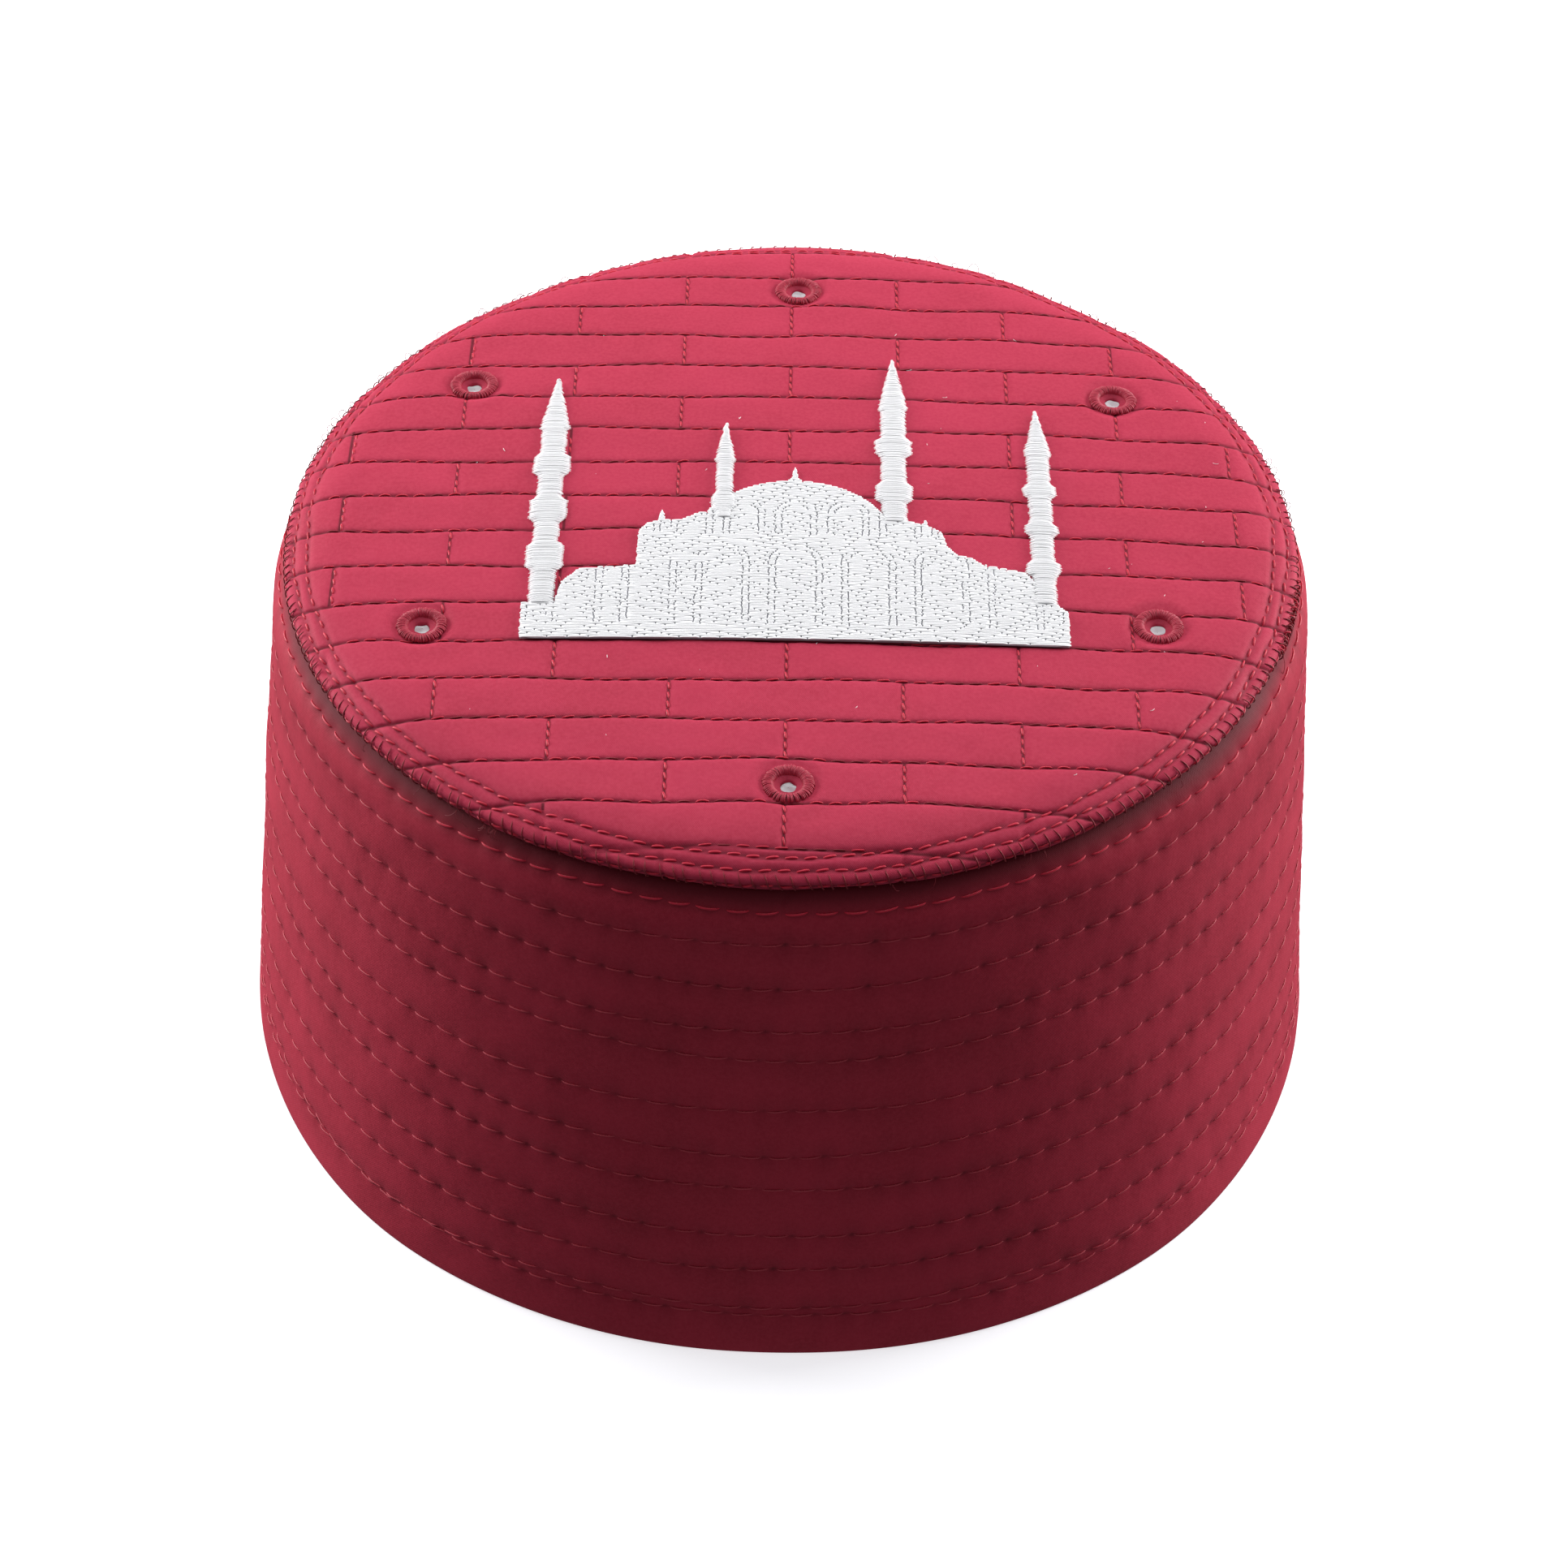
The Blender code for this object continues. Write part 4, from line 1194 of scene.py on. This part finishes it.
# %% [markdown]
# The crown's raw edge is held by an overlocking thread. It whips round the edge in tiny slanting
# stitches, and here and there a loop of it stands away. On the right it was sewn over again, which left
# a tangled patch with a loose end. A few frayed hairs hang under the lip, and some pale lint lies on
# the cloth. All of these are fine threads along short curves.

# %% Edge stitches, loops, frays and lint
edge_draws = np.random.default_rng(97)
edge_start = float(crown_length[399])


def over_edge(turn, length, lift):
    """Places on the crown's lip, from a turn and a length along its section."""
    return on_crown(length * np.cos(turn), length * np.sin(turn), lift)


WHIP_STEP = 0.0021
whip_count = round(math.tau * CROWN_RADIUS / WHIP_STEP)
whip_turn = np.arange(whip_count) * math.tau / whip_count + edge_draws.uniform(-0.004, 0.004, whip_count)
whip_share = np.linspace(0.0, 1.0, 7)[None, :]
whip_reach = edge_start - 0.0003 + whip_share * edge_draws.uniform(0.0030, 0.0038, (whip_count, 1))
whip_lean = whip_turn[:, None] + whip_share * edge_draws.uniform(0.008, 0.018, (whip_count, 1))
paths, ups = over_edge(whip_lean, whip_reach, 0.00012 + 0.00012 * np.sin(math.pi * whip_share))
# The whip stitches, loops, hairs and half of the patch below take the darker red thread: in part painted shade at and
# under the lip's edge.
make_piece("edge_stitches", *thread_mesh(paths, ups, 0.00026, 0.00022, sides=5), dark_and_shaded_thread, "red_thread")


def standing_loops(turns, size):
    """Small arches of thread that stand out from the edge."""
    angle = np.linspace(0.0, math.pi, 11)[None, :]
    size = size * edge_draws.uniform(0.6, 1.2, (len(turns), 1))
    turn = np.asarray(turns)[:, None] - np.cos(angle) * size * 0.9 / CROWN_RADIUS
    lean = edge_draws.uniform(-0.0003, 0.0005, (len(turns), 1))
    points, ups = over_edge(turn, np.full(turn.shape, edge_start + 0.0008), size * np.sin(angle))
    points[..., 2] += lean * np.sin(angle)
    return thread_mesh(points, np.broadcast_to([0.0, 0.0, 1.0], points.shape), 0.00013, 0.00013, sides=5, blunt=1.0)


loop_turns = []
for first, last, count in ((156, 167, 7), (7, 17, 6), (44, 50, 3), (64, 72, 4), (120, 150, 6)):
    loop_turns += np.radians(np.linspace(first, last, count) + edge_draws.uniform(-0.6, 0.6, count)).tolist()
make_piece("edge_loops", *standing_loops(loop_turns, 0.00105), dark_and_shaded_thread, "red_thread")

PATCH_STITCHES = 60
patch_turn = np.radians(edge_draws.uniform(341.0, 353.5, PATCH_STITCHES))
patch_start = edge_start + edge_draws.uniform(0.0004, 0.0016, PATCH_STITCHES)
patch_run = edge_draws.uniform(0.0010, 0.0019, PATCH_STITCHES)
patch_lean = edge_draws.uniform(-0.018, 0.018, PATCH_STITCHES)
patch_paths, patch_ups = over_edge(patch_turn[:, None] + patch_lean[:, None] * whip_share,
                                   patch_start[:, None] + patch_run[:, None] * whip_share,
                                   0.00018 + 0.00050 * np.sin(math.pi * whip_share))
halves = (slice(0, PATCH_STITCHES, 2), slice(1, PATCH_STITCHES, 2))
for name, half, material in zip(("patch_stitches", "patch_stitches_dark_and_shaded"), halves, (bright_thread, dark_and_shaded_thread)):
    make_piece(name, *thread_mesh(patch_paths[half], patch_ups[half], 0.00028, 0.00026, sides=5), material,
               "red_thread")


def hanging_hairs(turns, length, width):
    """Hairs that leave the lip's underside and curl down along the wall."""
    share = np.linspace(0.0, 1.0, 8)[None, :]
    turns = np.asarray(turns)[:, None]
    length = length * edge_draws.uniform(0.5, 1.3, turns.shape)
    swing = edge_draws.uniform(-1.0, 1.0, turns.shape)
    turn = turns + swing * length * share ** 1.5 / CROWN_RADIUS
    out = 0.0004 + 0.0007 * np.sin(math.pi * share * 0.8)
    radius = CROWN_RADIUS + stray_at(EDGE_STRAY, turn) + out
    height = under_height + 0.0006 - length * share * 0.8
    points = np.stack([radius * np.cos(turn), radius * np.sin(turn), height], axis=-1)
    ups = np.stack([np.cos(turn), np.sin(turn), np.zeros(turn.shape)], axis=-1)
    return thread_mesh(points, ups, width, width, sides=4, blunt=0.8)


hair_turns = np.radians(np.concatenate([edge_draws.uniform(231, 240, 12), edge_draws.uniform(213, 330, 9)]))
make_piece("frayed_hairs", *hanging_hairs(hair_turns, 0.0020, 0.00009), dark_and_shaded_thread, "red_thread")
make_piece("loose_end", *hanging_hairs(np.radians([341.5]), 0.0050, 0.00012), wall_thread, "red_thread")

LINT_COUNT = 46
lint_place = edge_draws.uniform(-0.075, 0.075, (LINT_COUNT, 2))
lint_place = lint_place[[free_cloth(*place) and math.hypot(*place) < 0.080 for place in lint_place]]
lint_aim = edge_draws.uniform(0.0, math.tau, (len(lint_place), 1))
lint_run = edge_draws.uniform(-0.0005, 0.0005, (len(lint_place), 1)) * np.linspace(-1.0, 1.0, 6)[None, :]
lint_x = lint_place[:, :1] + lint_run * np.cos(lint_aim)
lint_y = lint_place[:, 1:] + lint_run * np.sin(lint_aim) + 8.0 * lint_run ** 2 * 100
paths, ups = on_crown(lint_x, lint_y, crown_relief(lint_x, lint_y)[0] + 0.00012)
make_piece("lint", *thread_mesh(paths, ups, 0.00010, 0.00010, sides=4, blunt=0.8), white_thread, "white_thread")

# %% [markdown]
# A product photograph of this kind has a white table, a wide soft light above, and light from both
# sides, so that the front of the wall stays dark and its sides glow. The table is lit by these and glows a
# little by itself, more strongly round the cap: painted light that lightens the cap's shadow on it. It
# doesn't throw its own light back onto the cap.

# %% White table
table_finish = Finish("white table", Specular_IOR_Level=0.0, Emission_Strength=1.0)
table_place = table_finish.place()
patch = table_finish.noise(table_place, 0.8, 2.0)
table_colour = table_finish.blend(patch, (0.86, 0.87, 0.90, 1), (0.90, 0.91, 0.93, 1))
away = table_finish.add("ShaderNodeVectorMath", {"operation": "LENGTH"}, {0: table_place}, output="Value")
# Painted light: the table's glow is strongest round the cap, where the cap's shadow falls.
near_cap = table_finish.ramp(away * 2.0, [(0.22, 1.0), (0.50, 0.0)])
glow = table_finish.blend(near_cap, (1.0, 1.0, 1.0, 1), (0.68, 0.69, 0.71, 1))
table_finish.feed(table_finish.shader.inputs["Emission Color"], glow)
table_finish.finish(table_colour, 0.9 + 0.05 * patch, table_finish.bump(patch, 0.02, 0.001))
table_size = 4.0
table_mesh = bpy.data.meshes.new("white_table")
corners = [(-table_size, -table_size, 0), (table_size, -table_size, 0),
           (table_size, table_size, 0), (-table_size, table_size, 0)]
table_mesh.from_pydata(corners, [], [(0, 1, 2, 3)])
table_mesh.materials.append(table_finish.material)
table = bpy.data.objects.new("white_table", table_mesh)
bpy.context.scene.collection.objects.link(table)
table.visible_diffuse = False
table.visible_glossy = False

# %% Lights
def soft_light(name, place, aim, size, power, colour=(1.0, 1.0, 1.0)):
    lamp = bpy.data.lights.new(name, "AREA")
    lamp.shape = "RECTANGLE"
    lamp.size, lamp.size_y = size
    lamp.energy = power
    lamp.color = colour
    light = bpy.data.objects.new(name, lamp)
    light.location = place
    light.rotation_euler = (Vector(aim) - Vector(place)).to_track_quat("-Z", "Y").to_euler()
    bpy.context.scene.collection.objects.link(light)
    return light


cap_middle = (0.0, 0.0, 0.05)
soft_light("light_above", (0.0, 0.38, 0.90), cap_middle, (0.9, 0.9), 4.9)
soft_light("light_left", (-0.92, 0.45, 0.32), cap_middle, (0.6, 0.5), 12.6)
soft_light("light_right", (0.92, 0.45, 0.32), cap_middle, (0.6, 0.5), 12.2)
world = bpy.data.worlds.new("studio")
world.use_nodes = True
world.node_tree.nodes["Background"].inputs["Color"].default_value = (0.95, 0.96, 1.0, 1.0)
world.node_tree.nodes["Background"].inputs["Strength"].default_value = 0.18
bpy.context.scene.world = world
bpy.context.scene.view_settings.view_transform = "Standard"

# %% [markdown]
# The camera stands about 0.75 m away and 38 degrees above the table, with a long lens. It was fitted
# to the photograph by the straight quilting rows, the round crown and the hem.

# %% Camera
AIM_HEIGHT = 0.1031
CAMERA_DISTANCE = 0.7179
CAMERA_ELEVATION = math.radians(38.41)
CAMERA_AZIMUTH = math.radians(-0.07)
CAMERA_PITCH = math.radians(3.54)
CAMERA_ROLL = math.radians(0.99)
lens = bpy.data.cameras.new("camera")
lens.sensor_width = 36.0
lens.lens = 96.74
camera = bpy.data.objects.new("camera", lens)
back = Vector((math.sin(CAMERA_AZIMUTH) * math.cos(CAMERA_ELEVATION),
               -math.cos(CAMERA_AZIMUTH) * math.cos(CAMERA_ELEVATION), math.sin(CAMERA_ELEVATION)))
tilt = math.pi / 2 - CAMERA_ELEVATION - CAMERA_PITCH
turn = Matrix.Rotation(CAMERA_AZIMUTH, 4, "Z") @ Matrix.Rotation(tilt, 4, "X") @ Matrix.Rotation(CAMERA_ROLL, 4, "Z")
camera.matrix_world = Matrix.Translation(Vector((0, 0, AIM_HEIGHT)) + back * CAMERA_DISTANCE) @ turn
bpy.context.scene.collection.objects.link(camera)
bpy.context.scene.camera = camera
